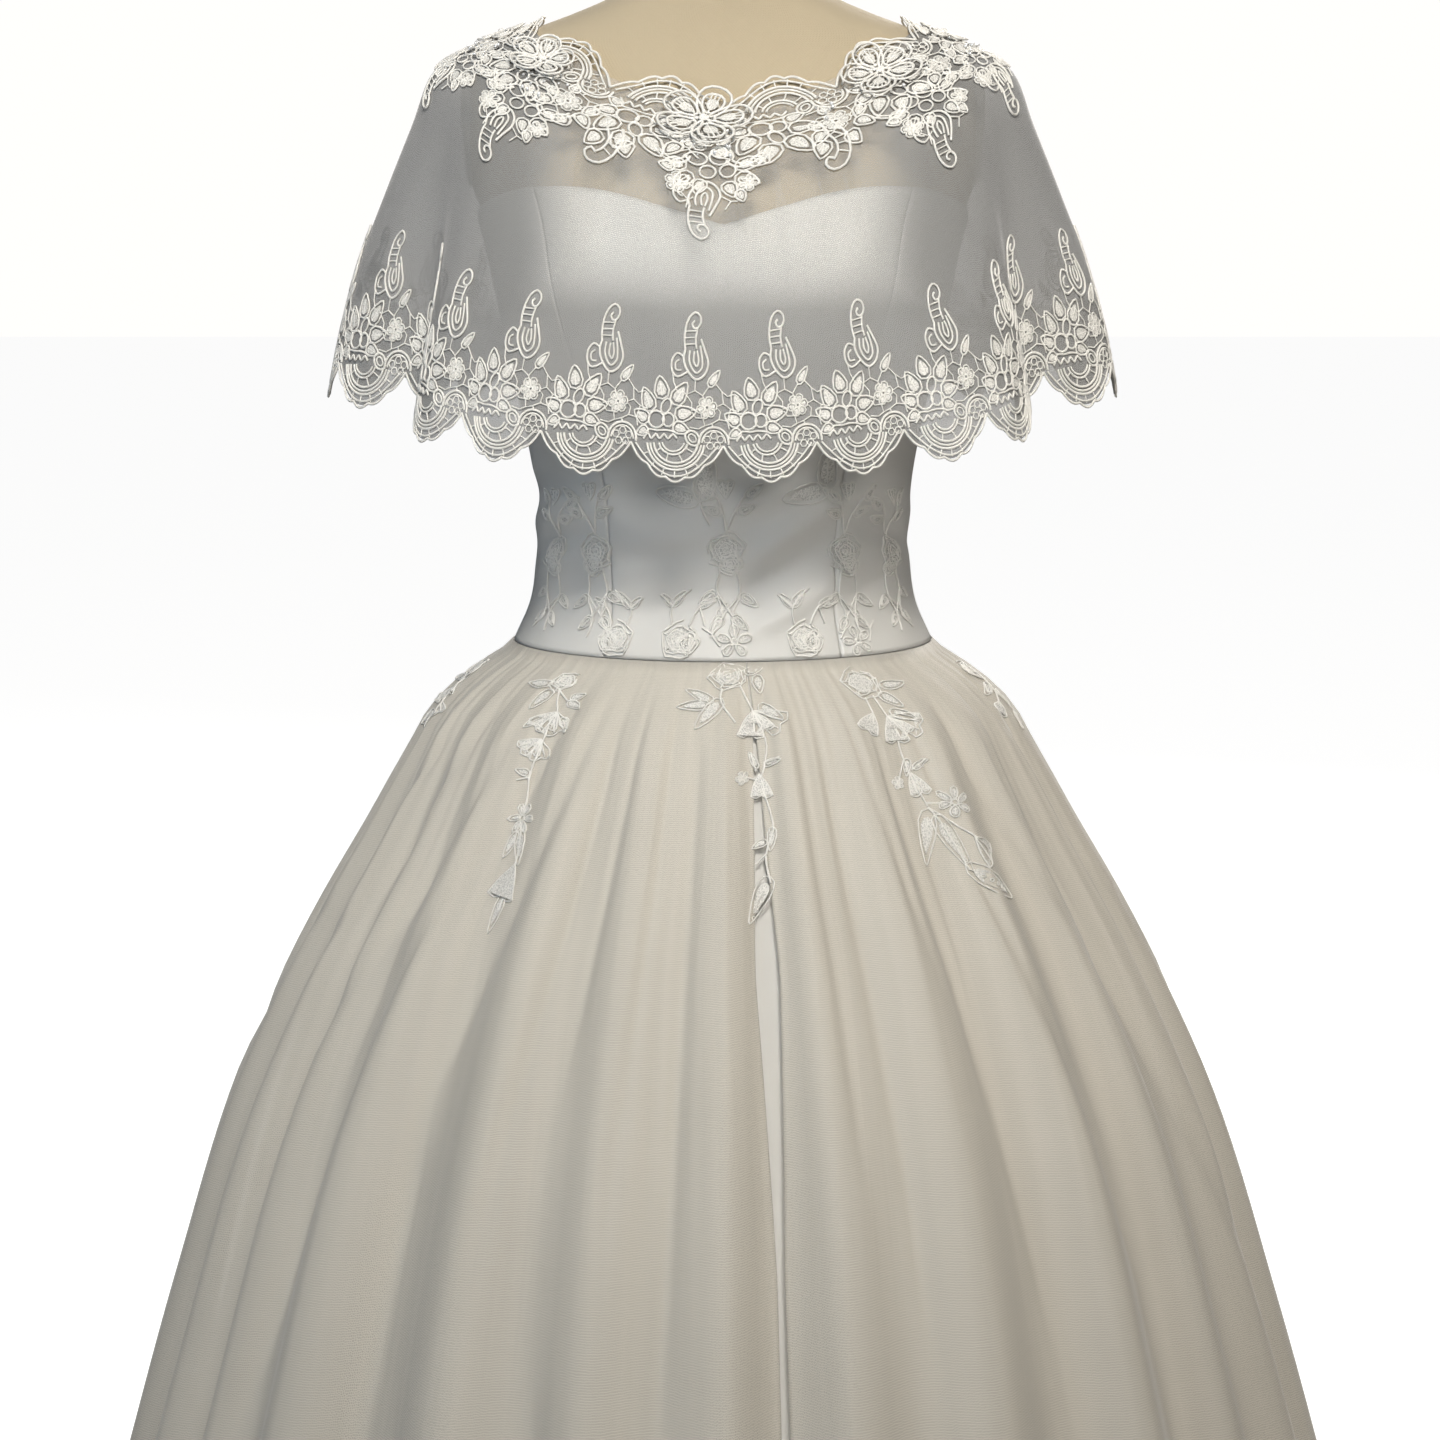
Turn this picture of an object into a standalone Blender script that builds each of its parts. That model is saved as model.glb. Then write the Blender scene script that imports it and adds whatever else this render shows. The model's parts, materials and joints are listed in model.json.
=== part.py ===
"""Wedding dress with a lace-edged cape, on a limbless dress form that stands on its own plate.

Metres, +Z up. The origin is the middle of the base plate on the floor, the front faces -Y and
+X is on the viewer's right. Angles go round the dress in degrees: 0 at the front, 90 at +X and
180 at the back, and rows go up or down the cloth.
"""

import math
from bisect import bisect_right
from collections import namedtuple

import bmesh
import bpy
import numpy as np
from mathutils import Matrix, Vector
from mathutils.geometry import delaunay_2d_cdt

# Cloth and clearances
MM = 0.001
SEAM_GAP = 0.3 * MM
SATIN_WALL = 2.2 * MM
SKIRT_SATIN_WALL = 1.5 * MM
TULLE_WALL = 1.2 * MM
LACE_WALL = 1.2 * MM
BODICE_CLEARANCE = 3.3 * MM
LACE_LIFT = 2.1 * MM
COLLAR_LIFT = 2.4 * MM
FLOWER_LIFT = 0.8 * MM

# Dress form and stand
FormRing = namedtuple("FormRing", "z half_width front back")
FORM = [
    FormRing(0.840, 0.148, 0.094, 0.104),
    FormRing(0.880, 0.160, 0.102, 0.116),
    FormRing(0.930, 0.166, 0.107, 0.122),
    FormRing(0.985, 0.162, 0.105, 0.116),
    FormRing(1.030, 0.152, 0.101, 0.104),
    FormRing(1.060, 0.1405, 0.0975, 0.094),
    FormRing(1.085, 0.1295, 0.095, 0.086),
    FormRing(1.115, 0.1245, 0.093, 0.080),
    FormRing(1.165, 0.1245, 0.094, 0.078),
    FormRing(1.210, 0.1315, 0.100, 0.082),
    FormRing(1.260, 0.142, 0.109, 0.089),
    FormRing(1.305, 0.151, 0.114, 0.096),
    FormRing(1.345, 0.160, 0.109, 0.100),
    FormRing(1.375, 0.172, 0.099, 0.100),
    FormRing(1.405, 0.178, 0.087, 0.094),
    FormRing(1.430, 0.174, 0.074, 0.083),
    FormRing(1.448, 0.160, 0.063, 0.071),
    FormRing(1.460, 0.148, 0.058, 0.065),
    FormRing(1.470, 0.130, 0.055, 0.061),
    FormRing(1.481, 0.100, 0.053, 0.058),
    FormRing(1.493, 0.072, 0.052, 0.056),
    FormRing(1.515, 0.058, 0.051, 0.054),
    FormRing(1.555, 0.055, 0.050, 0.053),
]
FORM_SIDES = 20
ARM_FLAT = 0.168
BUST_ANGLE = 31.0
BUST_SPREAD = 24.0
BUST_Z = 1.300
BUST_TALL = 0.062
BUST_DEPTH = 0.012
ARM_PLATE_Z = 1.405
ARM_PLATE_HALF_HEIGHT = 0.036
ARM_PLATE_HALF_WIDTH = 0.030
ARM_PLATE_THICKNESS = 0.004
NECK_CAP_RADIUS = 0.046
NECK_CAP_THICKNESS = 0.012
BASE_RADIUS = 0.200
BASE_THICKNESS = 0.012
POLE_RADIUS = 0.014

# Bodice
WAIST_SEAM_Z = 1.060
BODICE_BAND = 0.007
BODICE_ROWS = 8
TopEdge = namedtuple("TopEdge", "angle z")
BODICE_TOP = [
    TopEdge(0, 1.343),
    TopEdge(12, 1.354),
    TopEdge(26, 1.365),
    TopEdge(44, 1.367),
    TopEdge(66, 1.358),
    TopEdge(90, 1.345),
    TopEdge(120, 1.320),
    TopEdge(150, 1.304),
    TopEdge(180, 1.300),
]
PRINCESS_WAIST_ANGLE = 33.0
PRINCESS_TOP_ANGLE = 44.0
SIDE_SEAM_ANGLE = 90.0
BACK_WAIST_ANGLE = 142.0
BACK_TOP_ANGLE = 134.0
BUTTON_COUNT = 8
BUTTON_LOW_Z = 1.080
BUTTON_HIGH_Z = 1.284
BUTTON_RADIUS = 0.0058
BUTTON_HALF_DEPTH = 0.0026
BUTTON_SEAT = 0.8 * MM

# Skirt: the crests of the tulle folds lie on these ovals, the satin one lies inset below them
SkirtRing = namedtuple("SkirtRing", "z half_width front back fold_depth satin_inset")
SEAM_HALF = SEAM_GAP / 2
SKIRT = [
    SkirtRing(0.014, 0.565, 0.490, 0.575, 0.046, 0.056),
    SkirtRing(0.300, 0.487, 0.415, 0.490, 0.039, 0.049),
    SkirtRing(0.449, 0.445, 0.375, 0.440, 0.034, 0.044),
    SkirtRing(0.593, 0.402, 0.334, 0.388, 0.030, 0.039),
    SkirtRing(0.760, 0.345, 0.278, 0.318, 0.025, 0.033),
    SkirtRing(0.880, 0.284, 0.225, 0.252, 0.020, 0.027),
    SkirtRing(0.930, 0.254, 0.200, 0.219, 0.017, 0.023),
    SkirtRing(0.980, 0.225, 0.171, 0.184, 0.012, 0.017),
    SkirtRing(1.020, 0.200, 0.146, 0.150, 0.007, 0.0125),
    SkirtRing(1.040, 0.180, 0.129, 0.129, 0.004, 0.0095),
    SkirtRing(1.055, 0.1473, 0.1043, 0.1008, 0.0, 0.0024),
    SkirtRing(WAIST_SEAM_Z - SEAM_HALF, 0.1473, 0.1043, 0.1008, 0.0, 0.0021),
]
SKIRT_ROWS = [0.014, 0.380, 0.700, 0.880, 0.985, 1.035, 1.055, WAIST_SEAM_Z - SEAM_HALF]
SATIN_SIDES = 32
FOLD_STEPS = 4
Fold = namedtuple("Fold", "crest depth_share")
FOLDS = [
    Fold(-180, 0.8), Fold(-164, 0.9), Fold(-149, 0.7), Fold(-133, 1.0), Fold(-117, 0.8),
    Fold(-103, 0.9), Fold(-90, 0.6), Fold(-79, 0.7), Fold(-67, 0.8),
    Fold(-56, 0.5), Fold(-46, 1.0), Fold(-27, 0.6), Fold(-13, 0.5), Fold(0, 0.9),
    Fold(12, 0.5), Fold(26, 0.8), Fold(43, 0.7), Fold(56, 0.6), Fold(69, 0.8),
    Fold(81, 0.6), Fold(93, 0.9), Fold(107, 0.7), Fold(122, 0.9), Fold(137, 0.8),
    Fold(152, 1.0), Fold(166, 0.8),
]
SLIT_ANGLE = 6.0
SlitWidth = namedtuple("SlitWidth", "z width")
SLIT = [
    SlitWidth(0.014, 0.026),
    SlitWidth(0.449, 0.012),
    SlitWidth(0.580, 0.005),
    SlitWidth(0.700, 0.004),
    SlitWidth(0.800, 0.009),
    SlitWidth(0.880, 0.013),
    SlitWidth(0.950, 0.006),
    SlitWidth(1.020, 0.0015),
    SlitWidth(WAIST_SEAM_Z, SEAM_GAP),
]

# Cape: drop is the share of the cloth's length below the neckline
CapeRing = namedtuple("CapeRing", "drop half_width front back z_front z_side z_back")
CAPE = [
    CapeRing(-0.05, 0.118, 0.077, 0.080, 1.431, 1.4770, 1.448),
    CapeRing(0.00, 0.130, 0.086, 0.090, 1.419, 1.4712, 1.437),
    CapeRing(0.135, 0.164, 0.109, 0.114, 1.393, 1.459, 1.413),
    CapeRing(0.270, 0.192, 0.131, 0.136, 1.363, 1.444, 1.382),
    CapeRing(0.415, 0.208, 0.150, 0.152, 1.331, 1.408, 1.345),
    CapeRing(0.572, 0.228, 0.165, 0.166, 1.293, 1.362, 1.306),
    CapeRing(0.722, 0.246, 0.178, 0.178, 1.255, 1.318, 1.270),
    CapeRing(0.855, 0.259, 0.190, 0.188, 1.222, 1.274, 1.238),
    CapeRing(1.00, 0.269, 0.201, 0.197, 1.188, 1.228, 1.204),
]
CAPE_COLUMNS = 56
TULLE_HEM_DROP = 0.92
CAPE_FOLD_START = 0.22
CapeFold = namedtuple("CapeFold", "angle spread depth")
CAPE_FOLDS = [
    CapeFold(-62, 10, 0.046), CapeFold(62, 10, 0.046),
    CapeFold(-14, 8, 0.004), CapeFold(20, 9, 0.004),
    CapeFold(-121, 11, 0.032), CapeFold(121, 11, 0.032),
    CapeFold(-153, 9, 0.016), CapeFold(153, 9, 0.016),
]

# Guipure lace: widths are shares of a repeat, heights are in metres above the scallop's tip
HEM_REPEATS = 26
HEM_FRONT_REPEATS = 14
HEM_SCALLOP_STEPS = 4
HEM_DIP = 0.022
HEM_BAND_TOP = [(0.00, 0.058), (0.16, 0.070), (0.34, 0.061), (0.74, 0.064)]
HEM_TULIP = [
    (0.40, 0.052), (0.28, 0.084), (0.43, 0.082), (0.46, 0.106),
    (0.57, 0.117), (0.66, 0.107), (0.68, 0.085), (0.60, 0.052),
]
HEM_GAPS = [
    [(0.34, 0.016), (0.50, 0.011), (0.66, 0.016), (0.50, 0.024)],
    [(0.86, 0.030), (0.95, 0.036), (0.88, 0.046), (0.78, 0.039)],
    [(0.06, 0.036), (0.20, 0.041), (0.16, 0.052), (0.05, 0.047)],
]
COLLAR_REPEATS = 10
COLLAR_FRONT_REPEATS = 6
COLLAR_SCALLOP_STEPS = 4
COLLAR_DIP = 0.020
COLLAR_BAND_DEPTH = 0.062
LONG_PENDANT = [
    (-0.42, 0.056), (-0.24, 0.086), (-0.12, 0.092), (-0.08, 0.110),
    (0.04, 0.119), (0.10, 0.109), (0.12, 0.092), (0.28, 0.082), (0.42, 0.056),
    (0.21, 0.050), (0.00, 0.048), (-0.21, 0.050),
]
SHORT_PENDANT = [(-0.20, 0.056), (-0.10, 0.074), (0.02, 0.088), (0.14, 0.080), (0.18, 0.056)]
COLLAR_GAPS = [
    [(0.34, 0.014), (0.50, 0.009), (0.66, 0.014), (0.50, 0.021)],
    [(0.12, 0.036), (0.24, 0.032), (0.28, 0.044), (0.14, 0.046)],
    [(0.74, 0.034), (0.88, 0.032), (0.86, 0.045), (0.72, 0.046)],
]
COLLAR_CREASES = 3
CollarFlower = namedtuple("CollarFlower", "name repeat down radius turn")
COLLAR_FLOWERS = [
    CollarFlower("collar_flower_center", -0.15, 0.031, 0.024, 0),
    CollarFlower("collar_flower_left", -1.65, 0.030, 0.019, 40),
    CollarFlower("collar_flower_right", 1.40, 0.028, 0.023, 15),
    CollarFlower("collar_flower_shoulder_left", -2.50, 0.034, 0.019, 70),
    CollarFlower("collar_flower_shoulder_right", 2.50, 0.034, 0.019, 25),
    CollarFlower("collar_flower_back_left", -4.30, 0.034, 0.020, 10),
    CollarFlower("collar_flower_back_right", 4.30, 0.034, 0.020, 50),
]
FLOWER_PETALS = 5
FLOWER_WALL = 1.5 * MM
FLOWER_CUP = 0.30
FLOWER_NOTCH = 0.45

# Lace applied to bodice and skirt: angles and heights that a stem runs through, from its top down
STEM_WIDTH = 0.0034
LEAF_WIDTH_SHARE = 0.42
LEAF_TURN = 48.0
ROSE_LOBES = 4
ROSE_NOTCH = 0.80
LEAF_STAGGER = 0.15
LEAF_FOOT = 0.12
CHART_SCALE = 0.003
SLIT_EDGE = 0.01
Vine = namedtuple("Vine", "name lift rose leaf stem")
SKIRT_VINES = [
    Vine("skirt_lace_left", 1.8 * MM, 0.0125, 0.023, [
        (-43.1, 1.043), (-37.5, 1.014), (-36.0, 0.978), (-34.9, 0.944), (-34.3, 0.913),
    ]),
    Vine("skirt_lace_center", 2.1 * MM, 0.0125, 0.023, [
        (1.3, 1.043), (5.9, 1.014), (5.6, 0.980), (7.0, 0.944), (5.7, 0.910),
    ]),
    Vine("skirt_lace_right", 1.8 * MM, 0.0125, 0.023, [
        (36.6, 1.043), (33.4, 1.014), (36.6, 0.980), (39.4, 0.945), (45.0, 0.911),
    ]),
    Vine("skirt_lace_side_left", 1.2 * MM, 0.011, 0.019, [
        (-84.0, 1.040), (-82.0, 1.018), (-84.0, 0.990),
    ]),
    Vine("skirt_lace_side_right", 1.2 * MM, 0.011, 0.019, [
        (82.0, 1.040), (80.0, 1.018), (82.0, 0.990),
    ]),
]
BODICE_VINES = [
    Vine("bodice_lace_center", 0.9 * MM, 0.011, 0.019, [
        (4.0, 1.075), (-0.4, 1.122), (0.6, 1.165),
    ]),
    Vine("bodice_lace_left", 0.9 * MM, 0.012, 0.019, [
        (-32.2, 1.077), (-40.6, 1.118), (-45.1, 1.160),
    ]),
    Vine("bodice_lace_right", 0.9 * MM, 0.010, 0.019, [
        (40.4, 1.075), (38.5, 1.118), (38.6, 1.162),
    ]),
    Vine("bodice_lace_side_left", 0.9 * MM, 0.010, 0.019, [
        (-59.3, 1.080), (-61.1, 1.118), (-57.7, 1.160),
    ]),
    Vine("bodice_lace_side_right", 0.9 * MM, 0.010, 0.019, [
        (61.6, 1.079), (61.1, 1.118), (57.0, 1.160),
    ]),
    Vine("bodice_rose_left", 0.9 * MM, 0.013, 0.015, [(-11.8, 1.077), (-15.0, 1.078)]),
    Vine("bodice_rose_right", 0.9 * MM, 0.013, 0.015, [(23.0, 1.077), (19.8, 1.078)]),
    Vine("bodice_leaves_left", 0.9 * MM, 0.005, 0.019, [(-19.0, 1.182), (-14.5, 1.177)]),
    Vine("bodice_leaves_right", 0.9 * MM, 0.005, 0.019, [(23.5, 1.184), (28.0, 1.178)]),
]

# Colours: red, green, blue, opacity, then roughness and metallic
Finish = namedtuple("Finish", "color roughness metallic")
FINISHES = {
    "satin": Finish((0.74, 0.73, 0.70, 1.0), 0.38, 0.0),
    "tulle": Finish((0.70, 0.67, 0.62, 0.6), 0.75, 0.0),
    "lace": Finish((0.82, 0.81, 0.77, 1.0), 0.60, 0.0),
    "linen": Finish((0.60, 0.48, 0.34, 1.0), 0.85, 0.0),
    "steel": Finish((0.55, 0.55, 0.56, 1.0), 0.30, 1.0),
    "base_paint": Finish((0.70, 0.69, 0.66, 1.0), 0.45, 0.0),
}


def reset_scene():
    """Empty the scene and make the collection that holds the pieces."""
    for thing in list(bpy.data.objects):
        bpy.data.objects.remove(thing, do_unlink=True)
    pieces = bpy.data.collections.new("wedding_dress")
    bpy.context.scene.collection.children.link(pieces)
    return pieces


def make_material(name):
    """A Principled material with the finish of that name."""
    finish = FINISHES[name]
    material = bpy.data.materials.new(name)
    material.use_nodes = True
    shader = material.node_tree.nodes["Principled BSDF"]
    shader.inputs["Base Color"].default_value = finish.color[:3] + (1.0,)
    shader.inputs["Alpha"].default_value = finish.color[3]
    shader.inputs["Roughness"].default_value = finish.roughness
    shader.inputs["Metallic"].default_value = finish.metallic
    return material


def add_piece(name, bm, finish, smooth=True):
    """Turn a bmesh into one named object in the dress collection."""
    mesh = bpy.data.meshes.new(name)
    bm.to_mesh(mesh)
    bm.free()
    mesh.materials.append(MATERIALS[finish])
    if smooth:
        mesh.shade_smooth()
    piece = bpy.data.objects.new(name, mesh)
    PIECES.objects.link(piece)
    return piece


def thicken(piece, wall):
    """Give an open sheet its wall, outwards from the sheet."""
    solid = piece.modifiers.new("wall", "SOLIDIFY")
    solid.thickness = wall
    solid.offset = 1.0
    solid.use_even_offset = False
    solid.use_rim = True
    return piece


# Curves and surfaces

def smooth_column(rows, column, at):
    """One column of a table at a value of its first column, on a smooth curve through the rows."""
    keys = np.array([row[0] for row in rows], dtype=float)
    values = np.array([getattr(row, column) for row in rows], dtype=float)
    slopes = np.gradient(values, keys)
    i = int(np.clip(np.searchsorted(keys, at, side="right") - 1, 0, len(keys) - 2))
    span = keys[i + 1] - keys[i]
    t = (at - keys[i]) / span
    return float(
        (2 * t**3 - 3 * t**2 + 1) * values[i]
        + (t**3 - 2 * t**2 + t) * span * slopes[i]
        + (3 * t**2 - 2 * t**3) * values[i + 1]
        + (t**3 - t**2) * span * slopes[i + 1]
    )


def straight_column(rows, column, at):
    """One column of a table at a value of its first column, straight between the rows."""
    keys = [row[0] for row in rows]
    return float(np.interp(at, keys, [getattr(row, column) for row in rows]))


def oval(angle, half_width, front, back, z):
    """A point on a level oval whose front and back halves have their own depths."""
    turn = math.radians(angle)
    depth = front if math.cos(turn) >= 0 else back
    return Vector((half_width * math.sin(turn), -depth * math.cos(turn), z))


def wrap(angle):
    """The same angle between -180 and 180."""
    return (angle + 180.0) % 360.0 - 180.0


def bell(distance, spread):
    """A smooth bump that is 1 in the middle and fades over its spread."""
    return math.exp(-((distance / spread) ** 2))


def form_point(angle, z, out=0.0):
    """A point on the padded form, or that far outside it."""
    angle = wrap(angle)
    sizes = [smooth_column(FORM, column, z) + out for column in ("half_width", "front", "back")]
    point = oval(angle, *sizes, z)
    bust = BUST_DEPTH * bell(z - BUST_Z, BUST_TALL)
    bust *= bell(angle - BUST_ANGLE, BUST_SPREAD) + bell(angle + BUST_ANGLE, BUST_SPREAD)
    point += Vector((math.sin(math.radians(angle)), -math.cos(math.radians(angle)), 0.0)) * bust
    point.x = max(-ARM_FLAT - out, min(ARM_FLAT + out, point.x))
    return point


def fold_share(angle):
    """How far the tulle dips below its crests at an angle, as a share of the full fold depth."""
    angle = wrap(angle)
    crests = [fold.crest for fold in FOLDS]
    i = bisect_right(crests, angle) - 1
    after = crests[i + 1] if i + 1 < len(crests) else 180.0
    t = (angle - crests[i]) / (after - crests[i])
    return FOLDS[i].depth_share * (0.5 - 0.5 * math.cos(2 * math.pi * t))


def skirt_point(angle, z, inset=0.0):
    """A point on the oval that the tulle's crests lie on, or that far inside it."""
    sizes = [straight_column(SKIRT, column, z) - inset for column in ("half_width", "front", "back")]
    return oval(wrap(angle), *sizes, z)


def tulle_point(angle, z):
    """The inner face of the gathered tulle skirt."""
    depth = straight_column(SKIRT, "fold_depth", z) * fold_share(angle)
    return skirt_point(angle, z, depth + TULLE_WALL)


def satin_point(angle, z):
    """The inner face of the satin skirt under the tulle."""
    inset = straight_column(SKIRT, "satin_inset", z)
    return skirt_point(angle, z, inset + SKIRT_SATIN_WALL)


def cape_point(angle, drop):
    """The inner face of the cape, with its folds running down from the shoulders."""
    angle = wrap(angle)
    ring = {name: smooth_column(CAPE, name, drop) for name in CapeRing._fields[1:]}
    sideways = math.sin(math.radians(angle)) ** 2
    middle = ring["z_front"] if abs(angle) < 90 else ring["z_back"]
    z = middle * (1 - sideways) + ring["z_side"] * sideways
    point = oval(angle, ring["half_width"], ring["front"], ring["back"], z)
    ease = max(0.0, min(1.0, (drop - CAPE_FOLD_START) / (1 - CAPE_FOLD_START)))
    ease = ease * ease * (3 - 2 * ease)
    dip = sum(fold.depth * bell(wrap(angle - fold.angle), fold.spread) for fold in CAPE_FOLDS)
    outward = Vector((point.x, point.y, 0.0)).normalized()
    return point - outward * dip * ease


class Sheet:
    """A surface sampled on columns and rows, for pieces that lie on the cloth made from it."""

    def __init__(self, surface, columns, rows):
        self.columns = np.array(columns, dtype=float)
        self.rows = np.array(rows, dtype=float)
        self.points = np.array([[surface(c, r) for r in rows] for c in columns])
        normals = np.cross(np.gradient(self.points, axis=0), np.gradient(self.points, axis=1))
        if np.sum(normals * self.points * (1, 1, 0)) < 0:
            normals = -normals
        self.normals = normals / np.linalg.norm(normals, axis=2, keepdims=True)

    def at(self, column, row, lift=0.0):
        """The point at a column and row, lifted off the sheet along its normal."""
        i = int(np.clip(np.searchsorted(self.columns, column, side="right") - 1, 0, len(self.columns) - 2))
        j = int(np.clip(np.searchsorted(self.rows, row, side="right") - 1, 0, len(self.rows) - 2))
        s = (column - self.columns[i]) / (self.columns[i + 1] - self.columns[i])
        t = (row - self.rows[j]) / (self.rows[j + 1] - self.rows[j])
        total = np.zeros(3)
        for ci, weight_i in ((i, 1 - s), (i + 1, s)):
            for rj, weight_j in ((j, 1 - t), (j + 1, t)):
                total += (self.points[ci, rj] + self.normals[ci, rj] * lift) * weight_i * weight_j
        return Vector(total)

    def run_length(self, row):
        """Distances along one row, measured from the column at 0 degrees."""
        line = [self.at(c, row) for c in self.columns]
        steps = [0.0] + [(b - a).length for a, b in zip(line, line[1:])]
        run = np.cumsum(steps)
        return run - np.interp(0.0, self.columns, run)


# Building blocks

def cloth(name, point, columns, rows, wall, finish):
    """A cloth wall whose inner face goes through point(column, row); rows go upwards."""
    bm = bmesh.new()
    across, up = len(columns) - 1, len(rows) - 1
    bmesh.ops.create_grid(bm, x_segments=across, y_segments=up, size=1.0)
    for vert in bm.verts:
        column = columns[round((vert.co.x + 1) / 2 * across)]
        row = rows[round((vert.co.y + 1) / 2 * up)]
        vert.co = point(column, row)
    return thicken(add_piece(name, bm, finish), wall)


def lofted(name, rings, finish):
    """A closed body through level rings of equal count, from the bottom up."""
    bm = bmesh.new()
    loops = [[bm.verts.new(point) for point in ring] for ring in rings]
    count = len(loops[0])
    for low, high in zip(loops, loops[1:]):
        for i in range(count):
            after = (i + 1) % count
            bm.faces.new((low[i], low[after], high[after], high[i]))
    bm.faces.new(list(reversed(loops[0])))
    bm.faces.new(loops[-1])
    return add_piece(name, bm, finish)


def disc(name, center, radius, thickness, finish, sides=32):
    """A round plate standing on its centre point, with eased edges."""
    bm = bmesh.new()
    bmesh.ops.create_cone(
        bm, cap_ends=True, segments=sides, radius1=radius, radius2=radius, depth=thickness
    )
    bmesh.ops.translate(bm, verts=bm.verts, vec=Vector(center) + Vector((0, 0, thickness / 2)))
    return add_piece(name, bm, finish, smooth=False)


def turned_left(outline):
    """The same outline with its inside on the left."""
    area = sum(x0 * y1 - x1 * y0 for (x0, y0), (x1, y1) in zip(outline, outline[1:] + outline[:1]))
    return outline if area > 0 else outline[::-1]


def flat_shape(solids, gaps, creases):
    """Triangles over the solid outlines but not the gaps, split along the crease lines."""
    outlines = [turned_left(outline) for outline in solids + gaps]
    points, edges, faces = [], [], []
    for crease in creases:
        edges += [(len(points) + i, len(points) + i + 1) for i in range(len(crease) - 1)]
        points.extend(Vector(p) for p in crease)
    for outline in outlines:
        faces.append(list(range(len(points), len(points) + len(outline))))
        points.extend(Vector(p) for p in outline)
    verts, _, triangles, _, _, sources = delaunay_2d_cdt(points, edges, faces, 1, 1e-7)
    first_gap = len(solids)
    kept = [
        triangle
        for triangle, source in zip(triangles, sources)
        if source and max(source) < first_gap
    ]
    return verts, kept


def applied(name, solids, gaps, place, wall, finish, creases=()):
    """A flat cut-out laid on the cloth by place(x, y), which gives its inner face."""
    verts, triangles = flat_shape(solids, gaps, creases)
    bm = bmesh.new()
    used = sorted({i for triangle in triangles for i in triangle})
    made = {i: bm.verts.new(place(*verts[i])) for i in used}
    for triangle in triangles:
        bm.faces.new([made[i] for i in triangle])
    bm.normal_update()
    if sum(face.normal.xy.dot(face.calc_center_median().xy) for face in bm.faces) < 0:
        bmesh.ops.reverse_faces(bm, faces=bm.faces)
    return thicken(add_piece(name, bm, finish), wall)


# Dress form

def make_form():
    rings = []
    for row in FORM:
        angles = [-180 + 360 * i / FORM_SIDES for i in range(FORM_SIDES)]
        rings.append([form_point(angle, row.z) for angle in angles])
    lofted("form_torso", rings, "linen")
    neck_top = FORM[-1].z + SEAM_GAP
    disc("form_neck_cap", (0, 0, neck_top), NECK_CAP_RADIUS, NECK_CAP_THICKNESS, "base_paint")
    for side, suffix in ((-1, "left"), (1, "right")):
        make_arm_plate("form_arm_plate_" + suffix, side)


def make_arm_plate(name, side):
    """An oval plate on the flat of the form's armhole."""
    bm = bmesh.new()
    bmesh.ops.create_cone(
        bm, cap_ends=True, segments=16, radius1=1.0, radius2=1.0, depth=ARM_PLATE_THICKNESS
    )
    middle = ARM_FLAT + SEAM_GAP + ARM_PLATE_THICKNESS / 2
    for vert in bm.verts:
        x, y, depth = vert.co
        vert.co = (
            side * (middle + depth),
            side * x * ARM_PLATE_HALF_WIDTH,
            ARM_PLATE_Z + y * ARM_PLATE_HALF_HEIGHT,
        )
    add_piece(name, bm, "base_paint", smooth=False)


def make_stand():
    disc("base_plate", (0, 0, 0), BASE_RADIUS, BASE_THICKNESS, "base_paint", sides=40)
    pole_low = BASE_THICKNESS + SEAM_GAP
    pole_length = FORM[0].z - SEAM_GAP - pole_low
    disc("stand_pole", (0, 0, pole_low), POLE_RADIUS, pole_length, "steel", sides=16)


# Bodice

def bodice_levels(angle):
    """The heights of the bodice rows at an angle, from the waist seam to the top edge."""
    low = WAIST_SEAM_Z + SEAM_HALF
    high = smooth_column(BODICE_TOP, "z", abs(wrap(angle)))
    return [low] + list(np.linspace(low + BODICE_BAND, high, BODICE_ROWS))


def bodice_height(angle, row):
    """The height of a bodice row, from 0 at the waist seam to 1 on the top edge."""
    return float(np.interp(row * BODICE_ROWS, range(BODICE_ROWS + 1), bodice_levels(angle)))


def bodice_row(angle, z):
    """The bodice row at a height."""
    return float(np.interp(z, bodice_levels(angle), range(BODICE_ROWS + 1))) / BODICE_ROWS


def bodice_point(angle, row):
    """The inner face of the bodice, upright in its first few millimetres above the seam."""
    z = bodice_height(angle, row)
    section = WAIST_SEAM_Z if z < WAIST_SEAM_Z + BODICE_BAND + MM else z
    point = form_point(angle, section, BODICE_CLEARANCE)
    point.z = z
    return point


def seam_line(waist_angle, top_angle):
    """The angle of a bodice seam at each row."""
    return lambda row: waist_angle + (top_angle - waist_angle) * row


def bodice_panel(name, left, right, columns):
    """One bodice panel between two seam lines, with half a seam gap on each side."""
    def place(share, row):
        start, end = left(row), right(row)
        middle = form_point((start + end) / 2, bodice_height((start + end) / 2, row))
        trim = math.degrees(SEAM_HALF / Vector((middle.x, middle.y)).length)
        return bodice_point(start + trim + (end - start - 2 * trim) * share, row)

    shares = [i / columns for i in range(columns + 1)]
    rows = [j / BODICE_ROWS for j in range(BODICE_ROWS + 1)]
    cloth(name, place, shares, rows, SATIN_WALL, "satin")


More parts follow.
